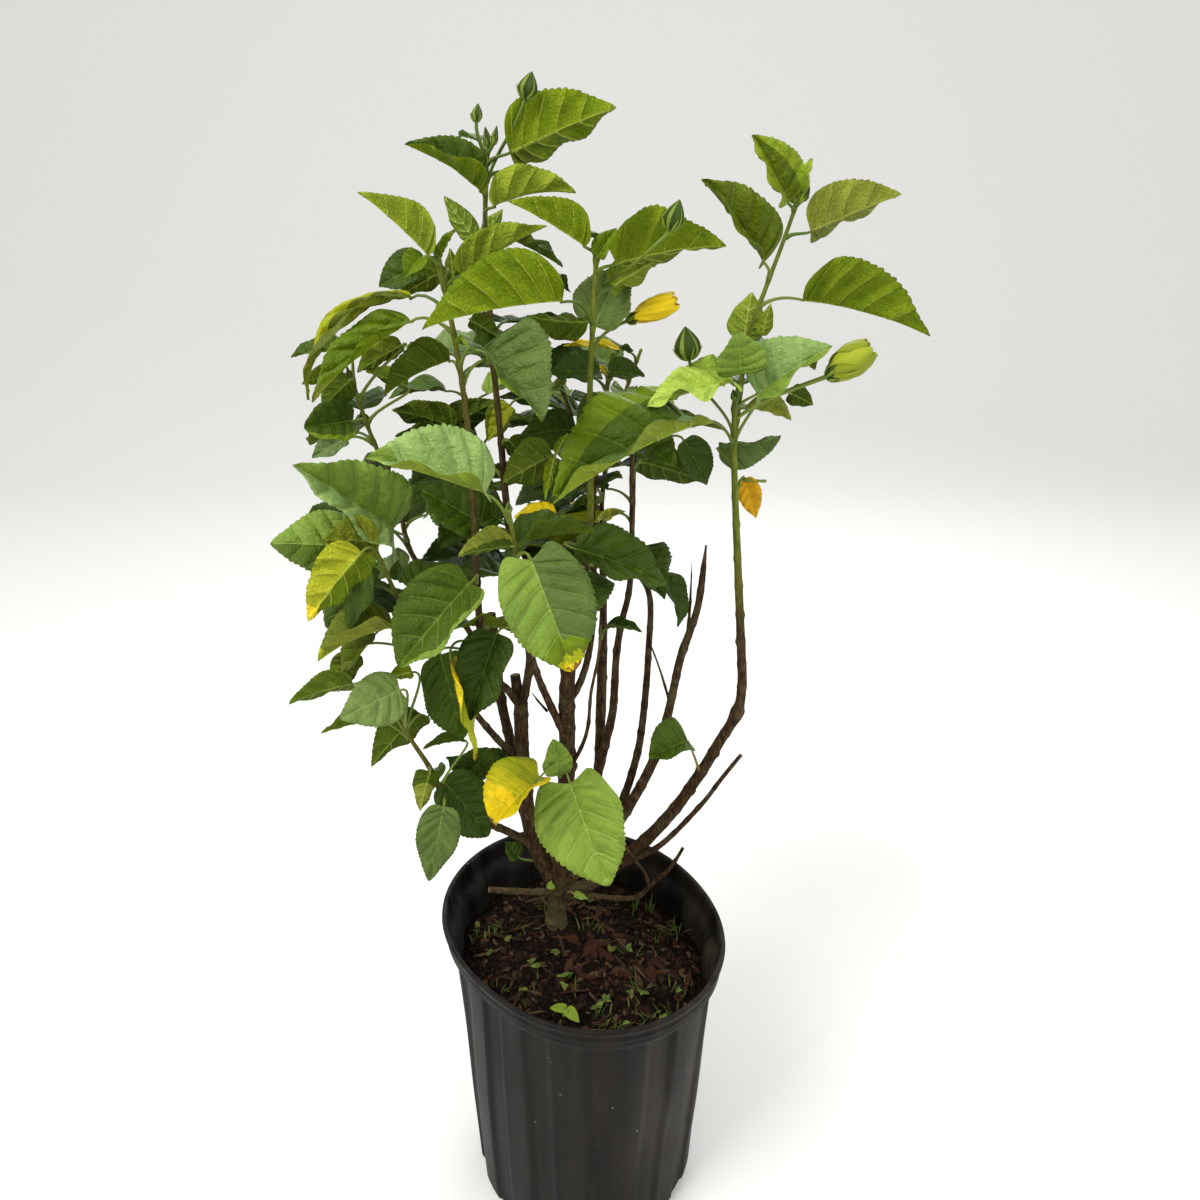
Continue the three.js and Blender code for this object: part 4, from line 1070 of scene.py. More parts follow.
def bud(base, tip, r, mats=(bud_g, bud_d), ribs=5, pleat=0.16, twist=0.8, bracts=7, stalk=None):
    """A ribbed pointed bud, with the narrow bracts of its outer cup."""
    axis = tip - base
    L = np.linalg.norm(axis)
    a = axis / L
    e1 = unit(np.cross(a, [0.2, 1, 0.1]))
    e2 = np.cross(a, e1)
    n, m = 22, ribs * 8
    s = np.linspace(0, 1, n)
    prof = np.sin(np.pi * np.clip(s * 0.97 + 0.03, 0, 1) ** 0.75) ** 0.85 * (1 - 0.25 * s)
    prof = prof / prof.max()
    ang = np.arange(m) / m * 2 * np.pi
    rr = r * prof[:, None] * (1 + pleat * np.cos(ribs * (ang[None, :] + twist * s[:, None])))
    V = base + s[:, None, None] * axis + rr[..., None] * (np.cos(ang)[None, :, None] * e1 + np.sin(ang)[None, :, None] * e2)
    V = V.reshape(-1, 3)
    i = np.arange(n - 1)[:, None]
    j = np.arange(m)[None, :]
    Q = np.stack([i * m + j, i * m + (j + 1) % m, (i + 1) * m + (j + 1) % m, (i + 1) * m + j], -1).reshape(-1, 4)
    rib = np.isin(np.broadcast_to(j, (n - 1, m)) % 8, (1, 2, 3, 4, 5, 6)).reshape(-1)
    k0, k1 = BUDS.slot(mats[0]), BUDS.slot(mats[1])
    V = np.concatenate([V, [base], [tip]])
    jj = np.arange(m)
    t = np.concatenate([np.stack([np.full(m, n * m), (jj + 1) % m, jj], -1), np.stack([np.full(m, n * m + 1), (n - 1) * m + jj, (n - 1) * m + (jj + 1) % m], -1)])
    BUDS.add(V, Q, np.where(rib, k1, k0), t, k0)
    for b in range(bracts):
        th = b / bracts * 2 * np.pi + 0.3
        d = math.cos(th) * e1 + math.sin(th) * e2
        P = np.array([base + d * r * (0.25 + 1.0 * u**0.6) + a * L * (-0.03 + 0.42 * u) for u in np.linspace(0, 1, 6)])
        tube(BUDS, bud_g, P, 0.0007 * np.array([1, 1.15, 1.1, 0.9, 0.6, 0.2]), 6)


def stalk_to(stem, B, aim, r0=0.0011, r1=0.0010, tone=1, s=None):
    petiole(stem, B, aim, r0, r1, tone)


def bud_at(stem, b, t, yb, r, dy=0.0, **kw):
    B, T = at(b[0], b[1], yb), at(t[0], t[1], yb + dy)
    bud(B, T, r, **kw)
    petiole(stem, B, T - B, 0.0011, 0.0012, 1)


STRIPED = dict(ribs=5, pleat=.13, twist=.35, mats=(bud_g, bud_d))
bud_at("A1", (525, 98), (532, 71), .0, .0060, bracts=6, **STRIPED)
bud_at("A1", (476, 121), (478, 103), .0, .0034, bracts=5, **STRIPED)
bud_at("A1", (488, 146), (485, 126), .004, .0023, bracts=4, **STRIPED)
bud_at("A1", (493, 144), (497, 125), .0, .0021, bracts=4, **STRIPED)
bud_at("trunk", (598, 245), (600, 233), -.026, .0022, bracts=4, **STRIPED)
bud_at("A2", (438, 256), (436, 245), -.036, .0022, bracts=4, **STRIPED)
bud_at("B2", (350, 380), (347, 368), .024, .0022, bracts=4, **STRIPED)
B_, T_ = at(670, 229, -.050), at(680, 199, -.052)
bud(B_, T_, .0062, bracts=7, **STRIPED)
tube(SOUPS["leaf_stalks"], GREEN[0], np.array([at(603, 285, .0), at(616, 277, -.022), at(634, 264, -.040), at(652, 248, -.050), at(664, 237, -.052), B_]), np.array([.0014, .0011, .0010, .0010, .0011, .0012]), 7)
bud_at("G", (689, 359), (685, 326), .0, .0088, bracts=7, **STRIPED)
bud_at("T5", (798, 203), (803, 184), .0, .0032, bracts=5, **STRIPED)
bud_at("T5", (803, 200), (810, 186), .002, .0024, bracts=4, **STRIPED)
bud_at("T5", (794, 202), (792, 190), -.002, .0022, bracts=4, **STRIPED)
bud_at("C1", (509, 512), (508, 501), -.086, .0020, bracts=4, **STRIPED)
bud_at("G", (735, 400), (733, 389), .006, .0024, bracts=4, **STRIPED)


def petals(middle, axis, r, L, count, mats, seed, open_=0.25):
    """Rolled petals: overlapping curved sheets round an axis."""
    a = unit(axis)
    e1 = unit(np.cross(a, [0.3, 1, 0.2]))
    e2 = np.cross(a, e1)
    rs = np.random.RandomState(seed)
    for c in range(count):
        th0 = c / count * 2 * np.pi + rs.uniform(-0.2, 0.2)
        n, m = 14, 12
        s = np.linspace(0, 1, n)[:, None]
        w = np.linspace(-1, 1, m)[None, :]
        spread = (0.35 + 0.75 * s**0.7) * 1.25
        th = th0 + w * spread + 1.3 * s
        rad = r * (0.30 + 0.85 * np.sin(np.pi * np.clip(s * 0.8 + 0.1, 0, 1))) * (1 + open_ * s * s) * (1 + 0.05 * c / count + 0.03 * w) + 0.0006 * np.sin(9 * w + 5 * s + c)
        y = L * s * (1 - 0.10 * w * w) + 0.0012 * np.sin(7 * w + c)
        outer = middle + y[..., None] * a + rad[..., None] * (np.cos(th)[..., None] * e1 + np.sin(th)[..., None] * e2)
        inner = middle + y[..., None] * a + (rad - 0.0005)[..., None] * (np.cos(th)[..., None] * e1 + np.sin(th)[..., None] * e2)
        V = np.concatenate([outer.reshape(-1, 3), inner.reshape(-1, 3)])
        i, j = np.meshgrid(np.arange(n - 1), np.arange(m - 1), indexing="ij")
        v0 = (i * m + j).reshape(-1)
        N = n * m
        Q1 = np.stack([v0, v0 + 1, v0 + m + 1, v0 + m], -1)
        Q2 = np.stack([v0 + N, v0 + N + m, v0 + N + m + 1, v0 + N + 1], -1)
        ii, jj = np.arange(n - 1), np.arange(m - 1)
        rim = np.concatenate([
            np.stack([ii * m, (ii + 1) * m, (ii + 1) * m + N, ii * m + N], -1),
            np.stack([ii * m + m - 1, ii * m + m - 1 + N, (ii + 1) * m + m - 1 + N, (ii + 1) * m + m - 1], -1),
            np.stack([jj, jj + N, jj + 1 + N, jj + 1], -1),
            np.stack([(n - 1) * m + jj, (n - 1) * m + jj + 1, (n - 1) * m + jj + 1 + N, (n - 1) * m + jj + N], -1)])
        k = BUDS.slot(mats[c % len(mats)])
        BUDS.add(V, np.concatenate([Q1, Q2, rim]), k)


# the large yellow bud on its long stalk
YB, YT = at(832, 374, -.016), at(872, 347, -.022)
bud(YB - unit(YT - YB) * 0.004, YB + (YT - YB) * 0.5, .0066, bracts=7, ribs=5, pleat=.12)
# The second and fifth petals take the darker copy, which is painted shade.
petals(YB, YT - YB, .0092, np.linalg.norm(YT - YB) * .98, 5, (bud_y, petal_painted_shade, bud_y), 5)
P = np.array([at(*q) for q in [(737, 418, .009), (760, 402, .004), (795, 388, -.006), (826, 377, -.015), (832, 374, -.016)]])
t = np.linspace(0, 1, 34)
idx = t * (len(P) - 1)
i0 = np.clip(idx.astype(int), 0, len(P) - 2)
fr = (idx - i0)[:, None]
Pm = P[i0] * (1 - fr) + P[i0 + 1] * fr
for _ in range(5):
    Pm[1:-1] = (Pm[:-2] + 2 * Pm[1:-1] + Pm[2:]) / 4
STALKS = SOUPS["leaf_stalks"]
tube(STALKS, GREEN[2], Pm, np.linspace(.0015, .0019, len(Pm)), 8)
tube(STALKS, GREEN[2], np.array([at(739, 481, .030), at(750, 480, .028), at(760, 481, .027), at(766, 481, .026)]), np.array([.0014, .0012, .0012, .0013]), 8)

# the withered yellow blossom, folded and hanging
WB, WT = at(634, 318, .0), at(676, 300, -.006)
bud(WB - unit(WT - WB) * .005, WB + (WT - WB) * .3, .0038, bracts=5)
petals(WB, WT - WB, .0056, np.linalg.norm(WT - WB), 5, (wither, wither, wither2), 9, open_=0.7)
petiole("trunk", WB - unit(WT - WB) * .006, WT - WB, .0011, .0012, 1)

# -------------------------------------------------------------------- pot
POT_H, RIM_R, RIM_OVAL, OVAL_AZ = .300, .1328, .011, math.radians(130)
BAND, BASE_R, BODY_R = .027, .110, .123
FLUTES, SUNK, RIB = 14, .0034, .50
SHIFT = np.array([-.0026, .0005])


def smooth01(v):
    t = np.clip(v, 0, 1)
    return t * t * (3 - 2 * t)


def pot_radius(a, z):
    rnd = BASE_R + (BODY_R - BASE_R) * np.clip(z / (POT_H - BAND), 0, 1) + (RIM_R - BODY_R) * smooth01((z - (POT_H - BAND - .003)) / .012)
    return rnd + RIM_OVAL * smooth01(z / POT_H) * np.cos(2 * (a - OVAL_AZ))


def sunk(a):
    """1 in a sunk panel, 0 on a rib, with soft corners."""
    f = (a / (2 * np.pi / FLUTES)) % 1.0
    return smooth01((f - RIB + 0.002) / .075) * (1 - smooth01((f - .925) / .075))


def pot_rows():
    """(height, how much of the flutes, inset) from the middle of the foot, up the outside and down the inside."""
    rows = [(.0004, 0, BASE_R - .004), (.0, 0, .014), (.0, .2, .005), (.0008, .4, .0022), (.0028, .6, .0006), (.006, .8, 0), (.012, 1, 0)]
    for z in np.linspace(.02, .2555, 44):
        rows.append((z, 1, 0))
    rows += [(.2605, 1, 0), (.2645, .97, 0), (.2668, .80, 0), (.2680, .35, 0), (.2690, .05, -.0001), (.2705, 0, -.0003), (.2722, 0, -.0001), (.2735, 0, .0012), (.2746, 0, .0020), (.2762, 0, .0026), (.2790, 0, .0030), (.2803, 0, .0024), (.2815, 0, .0030), (.2850, 0, .0031), (.2863, 0, .0025), (.2876, 0, .0031), (.2915, 0, .0031), (.2930, 0, .0026), (.2942, 0, .0012), (.2954, 0, .0002), (.2972, 0, -.0002), (.2988, 0, .0001), (.2998, 0, .0010), (.3000, 0, .0022), (.2996, 0, .0036), (.2984, 0, .0045), (.2966, 0, .0050)]
    for z in np.linspace(.292, .277, 5):
        rows.append((z, 0, .0053))
    rows += [(.270, .4, .0030), (.264, 1, .0022)]
    for z in np.linspace(.256, .012, 14):
        rows.append((z, 1, .0022))
    rows += [(.0032, 1, .0032), (.0030, .8, .012), (.0030, 0, BASE_R - .004)]
    return rows


POT = Soup()
plastic = new_mat("pot_black", rgb(22, 21, 19), 0.5, 0.10)
pc = coords(plastic)
pa = noise(plastic, scaled(plastic, pc, (1, 1, 0.22)), 26.0, 6.0)
pb2 = noise(plastic, pc, 240.0, 4.0)
pv = node(plastic, "ShaderNodeTexVoronoi")
pv.inputs["Scale"].default_value = 75.0
link(plastic, pc, pv.inputs["Vector"])
dots = ramp(plastic, pv.outputs["Distance"], [(0.045, (1, 1, 1, 1)), (0.075, (0, 0, 0, 1))])
rare = ramp(plastic, noise(plastic, pc, 48.0, 2.0), [(0.60, (0, 0, 0, 1)), (0.66, (1, 1, 1, 1))])
psep = node(plastic, "ShaderNodeSeparateXYZ")
link(plastic, pc, psep.inputs[0])
# Painted reflection: across x the plastic turns a lighter grey on the left side and brown on the right, standing in for
# the room reflected in the pot.
side_x = math_node(plastic, "ADD", math_node(plastic, "MULTIPLY", psep.outputs[0], 3.6), 0.5)
painted_side_reflection = ramp(plastic, side_x, [(0.06, rgb(40, 40, 40)), (0.34, rgb(28, 27, 24)), (0.62, rgb(29, 25, 19)), (0.95, rgb(48, 44, 37))])
streak = noise(plastic, scaled(plastic, pc, (1, 1, 0.035)), 58.0, 3.0)
base_c = mixc(plastic, ramp(plastic, streak, [(0.36, (0.0, 0.0, 0.0, 1)), (0.62, (1, 1, 1, 1))]), rgb(15, 14, 13), painted_side_reflection)
base_c = mixc(plastic, ramp(plastic, pb2, [(0.45, (0, 0, 0, 1)), (0.8, (0.35, 0.35, 0.35, 1))]), base_c, rgb(48, 42, 33))
base_c = mixc(plastic, math_node(plastic, "MULTIPLY", dots, rare), base_c, rgb(150, 146, 136))
pp = plastic.node_tree.nodes["Principled BSDF"]
link(plastic, base_c, pp.inputs["Base Color"])
link(plastic, ramp(plastic, pa, [(0.3, (0.42, 0.42, 0.42, 1)), (0.7, (0.62, 0.62, 0.62, 1))]), pp.inputs["Roughness"])
link(plastic, bump(plastic, pb2, 0.10, 0.0010), pp.inputs["Normal"])
rows = pot_rows()
m = FLUTES * 22
ang = np.arange(m) / m * 2 * np.pi
V = []
for k, (z, fl, inset) in enumerate(rows):
    dent = .0006 * np.sin(3 * ang + 14 * z + 1) + .0004 * np.sin(5 * ang - 30 * z)
    r = pot_radius(ang, z) - fl * SUNK * sunk(ang) - inset + dent * smooth01(z / .1)
    sh = SHIFT * min(1, z / POT_H)
    V.append(np.stack([r * np.cos(ang) + sh[0], r * np.sin(ang) + sh[1], np.full(m, z)], -1))
n = len(V)
V = np.concatenate(V)
i = np.arange(n - 1)[:, None]
j = np.arange(m)[None, :]
Q = np.stack([i * m + j, i * m + (j + 1) % m, (i + 1) * m + (j + 1) % m, (i + 1) * m + j], -1).reshape(-1, 4)
jj = np.arange(m)
t = np.concatenate([np.stack([np.full(m, n * m), (jj + 1) % m, jj], -1), np.stack([np.full(m, n * m + 1), (n - 1) * m + jj, (n - 1) * m + (jj + 1) % m], -1)])
V = np.concatenate([V, [[0, 0, .0004]], [[0, 0, .003]]])
U = np.zeros((len(V), 2))
U[: n * m, 0] = np.tile(np.abs(2 * jj / m - 1), n)
U[: n * m, 1] = np.repeat(np.arange(n) / n, m)
POT.add(V, Q, POT.slot(plastic), t, POT.slot(plastic), U)
pot = POT.make("pot_body")
# drain holes through the floor
for k in range(5):
    a = (k + 0.5) * 2 * math.pi / 5
    bpy.ops.mesh.primitive_cylinder_add(vertices=28, radius=.007, depth=.014, location=(.077 * math.cos(a), .077 * math.sin(a), .0015))
    c = bpy.context.object
    md = pot.modifiers.new("hole", "BOOLEAN")
    md.operation, md.object, md.solver = "DIFFERENCE", c, "FAST"
    bpy.context.view_layer.objects.active = pot
    bpy.ops.object.modifier_apply(modifier="hole")
    bpy.data.objects.remove(c, do_unlink=True)

# ------------------------------------------------------------------- soil
SOIL = Soup()
dirt = new_mat("potting_mix", rgb(30, 21, 15), 0.95, 0.06)
dc = coords(dirt)
d1 = noise(dirt, dc, 160.0, 6.0, 0.7)
d2 = noise(dirt, dc, 900.0, 4.0, 0.7)
link(dirt, ramp(dirt, d1, [(0.30, rgb(12, 7, 5)), (0.50, rgb(24, 16, 11)), (0.66, rgb(40, 27, 19)), (0.80, rgb(64, 44, 31))]), dirt.node_tree.nodes["Principled BSDF"].inputs["Base Color"])
link(dirt, bump(dirt, d2, 0.8, 0.0018, bump(dirt, d1, 0.8, 0.004)), dirt.node_tree.nodes["Principled BSDF"].inputs["Normal"])
na, nr = 220, 60
ang = np.arange(na) / na * 2 * np.pi
rings = np.linspace(0.02, 1, nr)


def soil_height(x, y):
    h = 0.0026 * grid_noise(x * 60, y * 60, 3, 3) + 0.0016 * grid_noise(x * 230, y * 230, 4, 3)
    rr = np.sqrt((x + .002) ** 2 + (y - .002) ** 2)
    h = h - .006 * smooth01((rr - .095) / .025)
    h = h + .004 * np.exp(-(((x + .028) ** 2 + (y - .038) ** 2) / .03**2))
    return SOIL_Z + h - .0006


def wall_r(a, z, gap=.0008):
    return pot_radius(a, z) - SUNK * sunk(a) - .0022 - gap


sx = SHIFT * .8
top = []
for f in rings:
    r = wall_r(ang, .247) * f
    x, y = r * np.cos(ang) + sx[0], r * np.sin(ang) + sx[1]
    top.append(np.stack([x, y, soil_height(x, y)], -1))
low = []
for z, ins in ((.235, 0), (.15, 0), (.06, 0), (.0045, .002)):
    r = wall_r(ang, z) - ins
    sh = SHIFT * z / POT_H
    low.append(np.stack([r * np.cos(ang) + sh[0], r * np.sin(ang) + sh[1], np.full(na, z)], -1))
allr = top + low
n = len(allr)
V = np.concatenate(allr)
i = np.arange(n - 1)[:, None]
j = np.arange(na)[None, :]
Q = np.stack([i * na + j, (i + 1) * na + j, (i + 1) * na + (j + 1) % na, i * na + (j + 1) % na], -1).reshape(-1, 4)
jj = np.arange(na)
c0 = np.array([sx[0], sx[1], 0.0])
c0[2] = soil_height(np.array([c0[0]]), np.array([c0[1]]))[0]
V = np.concatenate([V, [c0], [[0, 0, .0045]]])
t = np.concatenate([np.stack([np.full(na, n * na), jj, (jj + 1) % na], -1), np.stack([np.full(na, n * na + 1), (n - 1) * na + (jj + 1) % na, (n - 1) * na + jj], -1)])
U = V[:, :2] * 3.3 + 0.5
SOIL.add(V, Q, SOIL.slot(dirt), t, SOIL.slot(dirt), U)
soil = SOIL.make("potting_mix_fill")

CHIPS = Soup()
chip_mats = []
for k, c in enumerate([(38, 23, 16), (54, 32, 22), (26, 17, 12), (18, 12, 9), (62, 42, 29), (44, 34, 24), (78, 60, 42)]):
    mt = new_mat(f"bark_chip_{k}", rgb(*c), 0.85, 0.08)
    g = noise(mt, coords(mt), 700.0, 4.0)
    link(mt, bump(mt, g, 0.9, 0.0016), mt.node_tree.nodes["Principled BSDF"].inputs["Normal"])
    chip_mats.append(mt)


def soil_spot(margin=.006):
    while True:
        x, y = R.uniform(-.128, .128), R.uniform(-.128, .128)
        a = math.atan2(y - sx[1], x - sx[0])
        if math.hypot(x - sx[0], y - sx[1]) < float(wall_r(np.array([a]), .250)[0]) - margin:
            return x, y


def chip(x, y, size, thick, mat, tilt, lift=0.0, long_=1.6):
    k = R.randint(6, 9)
    th = np.arange(k) / k * 2 * np.pi
    rr = size * NR.uniform(0.55, 1.1, k)
    px, py = rr * np.cos(th) * long_, rr * np.sin(th) / long_
    top = np.stack([px * .85, py * .85, thick / 2 + NR.uniform(-.3, .3, k) * thick], -1)
    mid = np.stack([px, py, NR.uniform(-.2, .2, k) * thick], -1)
    bot = np.stack([px * .85, py * .85, -thick / 2 + 0 * px], -1)
    V = np.concatenate([top, mid, bot, [[0, 0, thick * .7]], [[0, 0, -thick / 2]]])
    V[:, 2] += 9.0 * V[:, 0] ** 2 * NR.uniform(-1, 1)
    az = R.uniform(0, 6.28)
    ca, sa = math.cos(az), math.sin(az)
    ct, st = math.cos(tilt), math.sin(tilt)
    Rz = np.array([[ca, -sa, 0], [sa, ca, 0], [0, 0, 1]])
    Rx = np.array([[1, 0, 0], [0, ct, -st], [0, st, ct]])
    V = V @ (Rz @ Rx).T
    V += [x, y, float(soil_height(np.array([x]), np.array([y]))[0]) + lift]
    jj = np.arange(k)
    q = np.concatenate([np.stack([jj, k + jj, k + (jj + 1) % k, (jj + 1) % k], -1), np.stack([k + jj, 2 * k + jj, 2 * k + (jj + 1) % k, k + (jj + 1) % k], -1)])
    t = np.concatenate([np.stack([np.full(k, 3 * k), jj, (jj + 1) % k], -1), np.stack([np.full(k, 3 * k + 1), 2 * k + (jj + 1) % k, 2 * k + jj], -1)])
    s = CHIPS.slot(mat)
    CHIPS.add(V, q, s, t, s)


def crumb(x, y, size, mat):
    """One uneven eight-sided grain."""
    z = float(soil_height(np.array([x]), np.array([y]))[0])
    V = np.array([[1, 0, 0], [0, 1, 0], [-1, 0, 0], [0, -1, 0], [0, 0, .8], [0, 0, -.8]]) * NR.uniform(.55, 1.2, (6, 1)) * size
    a = R.uniform(0, 6.28)
    V = V @ np.array([[math.cos(a), -math.sin(a), .2], [math.sin(a), math.cos(a), .1], [-.2, 0, 1]]).T + [x, y, z + size * .25]
    t = [(0, 1, 4), (1, 2, 4), (2, 3, 4), (3, 0, 4), (1, 0, 5), (2, 1, 5), (3, 2, 5), (0, 3, 5)]
    CHIPS.add(V, None, None, np.array(t), CHIPS.slot(mat))


for _ in range(64):
    x, y = soil_spot(.014)
    if math.hypot(x + .028, y - .038) < .022:
        continue
    redder = x > -.02
    chip(x, y, R.uniform(.004, .008), R.uniform(.002, .004), chip_mats[R.choice([0, 1, 1, 4] if redder else [0, 2, 3, 5])], R.uniform(-.5, .5), .001, R.uniform(1.1, 1.7))
for _ in range(900):
    x, y = soil_spot(.007)
    if math.hypot(x + .028, y - .038) < .018:
        continue
    chip(x, y, R.uniform(.0018, .0046), R.uniform(.0012, .0026), chip_mats[R.choice([0, 1, 2, 2, 3, 3, 4, 5, 6])], R.uniform(-.8, .8), .0006, R.uniform(1.0, 1.6))
for _ in range(240):  # a low heap of grains round the stem foot
    a = R.uniform(0, 6.28)
    d = R.uniform(.010, .019)
    crumb(-.029 + d * math.cos(a), .038 + d * math.sin(a), R.uniform(.0012, .0034), chip_mats[R.choice([0, 2, 2, 3, 5])])
for _ in range(6500):
    x, y = soil_spot(.004)
    crumb(x, y, R.uniform(.0008, .0026), chip_mats[R.choice([0, 2, 2, 3, 3, 3, 5])])
for _ in range(46):  # splinters and dead stalks
    x, y = soil_spot(.022)
    chip(x, y, R.uniform(.004, .008), .0012, chip_mats[R.choice([4, 5, 6])], R.uniform(-.3, .3), .002, R.uniform(2.4, 3.2))

# weeds: grass blades, little round-leaved weeds and one seedling
WEED = Soup()
weed_m = []
for k, c in enumerate([(74, 92, 38), (62, 80, 32), (94, 110, 48), (86, 88, 42)]):
    mt = new_mat(f"weed_{k}", rgb(*c), 0.55, 0.10)
    link(mt, bump(mt, noise(mt, coords(mt), 1200.0, 2.0), 0.3, 0.0004), mt.node_tree.nodes["Principled BSDF"].inputs["Normal"])
    weed_m.append(mt)


def blade(x, y, h, lean, width, mat):
    az = R.uniform(0, 6.28)
    d = np.array([math.cos(az), math.sin(az), 0])
    sd = np.array([-d[1], d[0], 0])
    z0 = float(soil_height(np.array([x]), np.array([y]))[0])
    n = 7
    u = np.linspace(0, 1, n)
    C = np.array([x, y, z0 - .001]) + d * (lean * u**1.8)[:, None] + np.array([0, 0, 1.0]) * (h * (u - 0.35 * u * u * lean / max(h, 1e-6)))[:, None]
    wv = width * (1 - u**2.2) + .00008
    up = np.array([0, 0, .00018])
    V = np.concatenate([C - sd * wv[:, None], C + up * 2, C + sd * wv[:, None], C - up])
    i = np.arange(n - 1)
    Q = []
    for a, b in ((0, 1), (1, 2), (2, 3), (3, 0)):
        Q.append(np.stack([a * n + i, a * n + i + 1, b * n + i + 1, b * n + i], -1))
    Q = np.concatenate(Q)
    caps = np.array([[0, n, 2 * n, 3 * n], [n - 1, 4 * n - 1, 3 * n - 1, 2 * n - 1]])
    s = WEED.slot(mat)
    WEED.add(V, np.concatenate([Q, caps]), s)


def leaflet(B, T, w, mat, normal):
    lf = leaf_mesh(B, T, w, fold=10, bend=12, wave=.3, seed=R.randint(0, 9999), normal=normal, teeth=3, shape=-.2)
    V = lf["V"]
    s = WEED.slot(mat)
    WEED.add(V, np.concatenate([lf["top"], lf["bot"], lf["rim"]]), s, uv=lf["UV"])


def on_soil(px, py, spread):
    """A spot on the soil near the view's (px, py), or None if it is outside the pot."""
    p = at_height(px + R.gauss(0, spread), py + R.gauss(0, spread * .7), SOIL_Z)
    a = math.atan2(p[1] - sx[1], p[0] - sx[0])
    if math.hypot(p[0] - sx[0], p[1] - sx[1]) > float(wall_r(np.array([a]), .250)[0]) - .007:
        return None
    return p[0], p[1]


# crumpled flakes of litter, most of them near the front right
for _ in range(34):
    spot = on_soil(R.uniform(575, 712), R.uniform(925, 1016), 9)
    if spot is not None:
        chip(spot[0], spot[1], R.uniform(.006, .011), R.uniform(.0015, .003), chip_mats[R.choice([0, 1, 1, 0, 2])], R.uniform(-.9, .9), R.uniform(0, .003))


# middle of each tuft in the view, how many blades, their height in mm
TUFTS = [
    (662, 936, 6, 17), (678, 938, 5, 16), (640, 912, 7, 13), (656, 912, 4, 15), (592, 930, 7, 12), (606, 940, 4, 12), (562, 930, 6, 9),
    (502, 932, 7, 11), (522, 934, 5, 10), (488, 934, 5, 12), (470, 932, 4, 12), (636, 990, 6, 14), (633, 1006, 4, 9), (650, 1018, 9, 9), (664, 1012, 8, 10),
    (618, 1027, 8, 8), (640, 1026, 10, 8), (601, 1016, 7, 10), (606, 1030, 6, 8), (672, 990, 6, 11), (682, 996, 6, 9), (690, 986, 3, 9), (626, 952, 5, 8),
    (634, 956, 4, 8), (545, 912, 5, 11), (656, 948, 4, 10), (484, 992, 5, 7), (502, 990, 3, 8), (522, 1004, 3, 6), (540, 984, 2, 8), (578, 992, 3, 12),
]
for px, py, count, tall in TUFTS:
    for _ in range(int(count * 1.6)):
        spot = on_soil(px, py, 5.0)
        if spot:
            h = tall / 1000 * R.uniform(.75, 1.45)
            blade(spot[0], spot[1], h, h * R.uniform(.25, .8), R.uniform(.0006, .0011), R.choice(weed_m))
SPROUTS = [(458, 906), (467, 912), (470, 900), (455, 915), (476, 930), (470, 924), (489, 958), (530, 968), (538, 972), (556, 960), (521, 997), (558, 982), (566, 981), (561, 994), (611, 957), (624, 953), (632, 1002), (596, 1012), (605, 1006), (640, 996), (676, 1000), (662, 1020), (622, 1030), (505, 945), (590, 905)]
for px, py in SPROUTS:
    spot = on_soil(px, py, 1.5)
    if not spot:
        continue
    x, y = spot
    z0 = float(soil_height(np.array([x]), np.array([y]))[0])
    h = R.uniform(.003, .009)
    C = np.array([[x, y, z0 - .001], [x + .001, y, z0 + h * .5], [x + .0015, y + .001, z0 + h]])
    tube(WEED, weed_m[1], C, np.array([.0005, .0004, .0003]), 5)
    for q in range(R.randint(2, 4)):
        az = R.uniform(0, 6.28)
        d = np.array([math.cos(az), math.sin(az), R.uniform(0, .6)])
        L = R.uniform(.004, .008)
        leaflet(C[2] - d * .0005, C[2] + unit(d) * L, L * .68, R.choice(weed_m), np.array([0, 0, 1.0]))
sp = at_height(567, 1019, SOIL_Z)
z0 = float(soil_height(np.array([sp[0]]), np.array([sp[1]]))[0])
top_ = np.array([sp[0], sp[1], z0 + .012])
tube(WEED, weed_m[2], np.array([[sp[0], sp[1] + .002, z0 - .001], [sp[0], sp[1], z0 + .006], top_]), np.array([.0007, .0006, .0005]), 6)
lime = new_mat("seedling", rgb(108, 128, 34), 0.5, 0.12)
link(lime, bump(lime, noise(lime, coords(lime), 900.0, 2.0), 0.25, 0.0004), lime.node_tree.nodes["Principled BSDF"].inputs["Normal"])
leaflet(top_, top_ + np.array([-.0150, -.001, .002]), .0088, lime, np.array([0, -.5, 1.0]))
leaflet(top_, top_ + np.array([.0112, -.0128, -.002]), .0108, lime, np.array([.1, -.6, 1.0]))
leaflet(top_, top_ + np.array([-.003, -.007, -.002]), .006, weed_m[2], np.array([0, -.3, 1.0]))

# ------------------------------------------------------- pieces on the frame
nodes = set(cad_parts)
leaf_nodes = sorted(n for n in nodes if n.startswith("leaves_"))
stem_nodes = sorted(n for n in nodes if n not in leaf_nodes and n not in ("nursery_pot", "potting_soil", "yellow_bud"))
OWNS = {
    "leaves_back_left_spray": ["leaves_back_left", "leaves_back_top", "leaves_back_middle"],
    "leaves_back_right_spray": ["leaves_back_right", "leaves_back_top", "leaves_back_middle"],
    "leaves_low_spray": ["leaves_lower_left", "leaves_low_left_tip", "leaves_low_front", "leaves_front_low"],
    "leaves_left_spray": ["leaves_left_wing", "leaves_front_left"],
    "leaves_upper_left_spray": ["leaves_left_shoulder", "leaves_upper_left", "leaves_upper_front"],
    "leaves_top_spray": ["leaves_top", "leaves_upper_middle"],
    "leaves_middle_spray": ["leaves_centre", "leaves_front_centre", "leaves_inner_right"],
    "leaves_right_spray": ["leaves_right", "leaves_right_hand", "leaves_right_top", "leaves_right_tip"],
}
total = 0
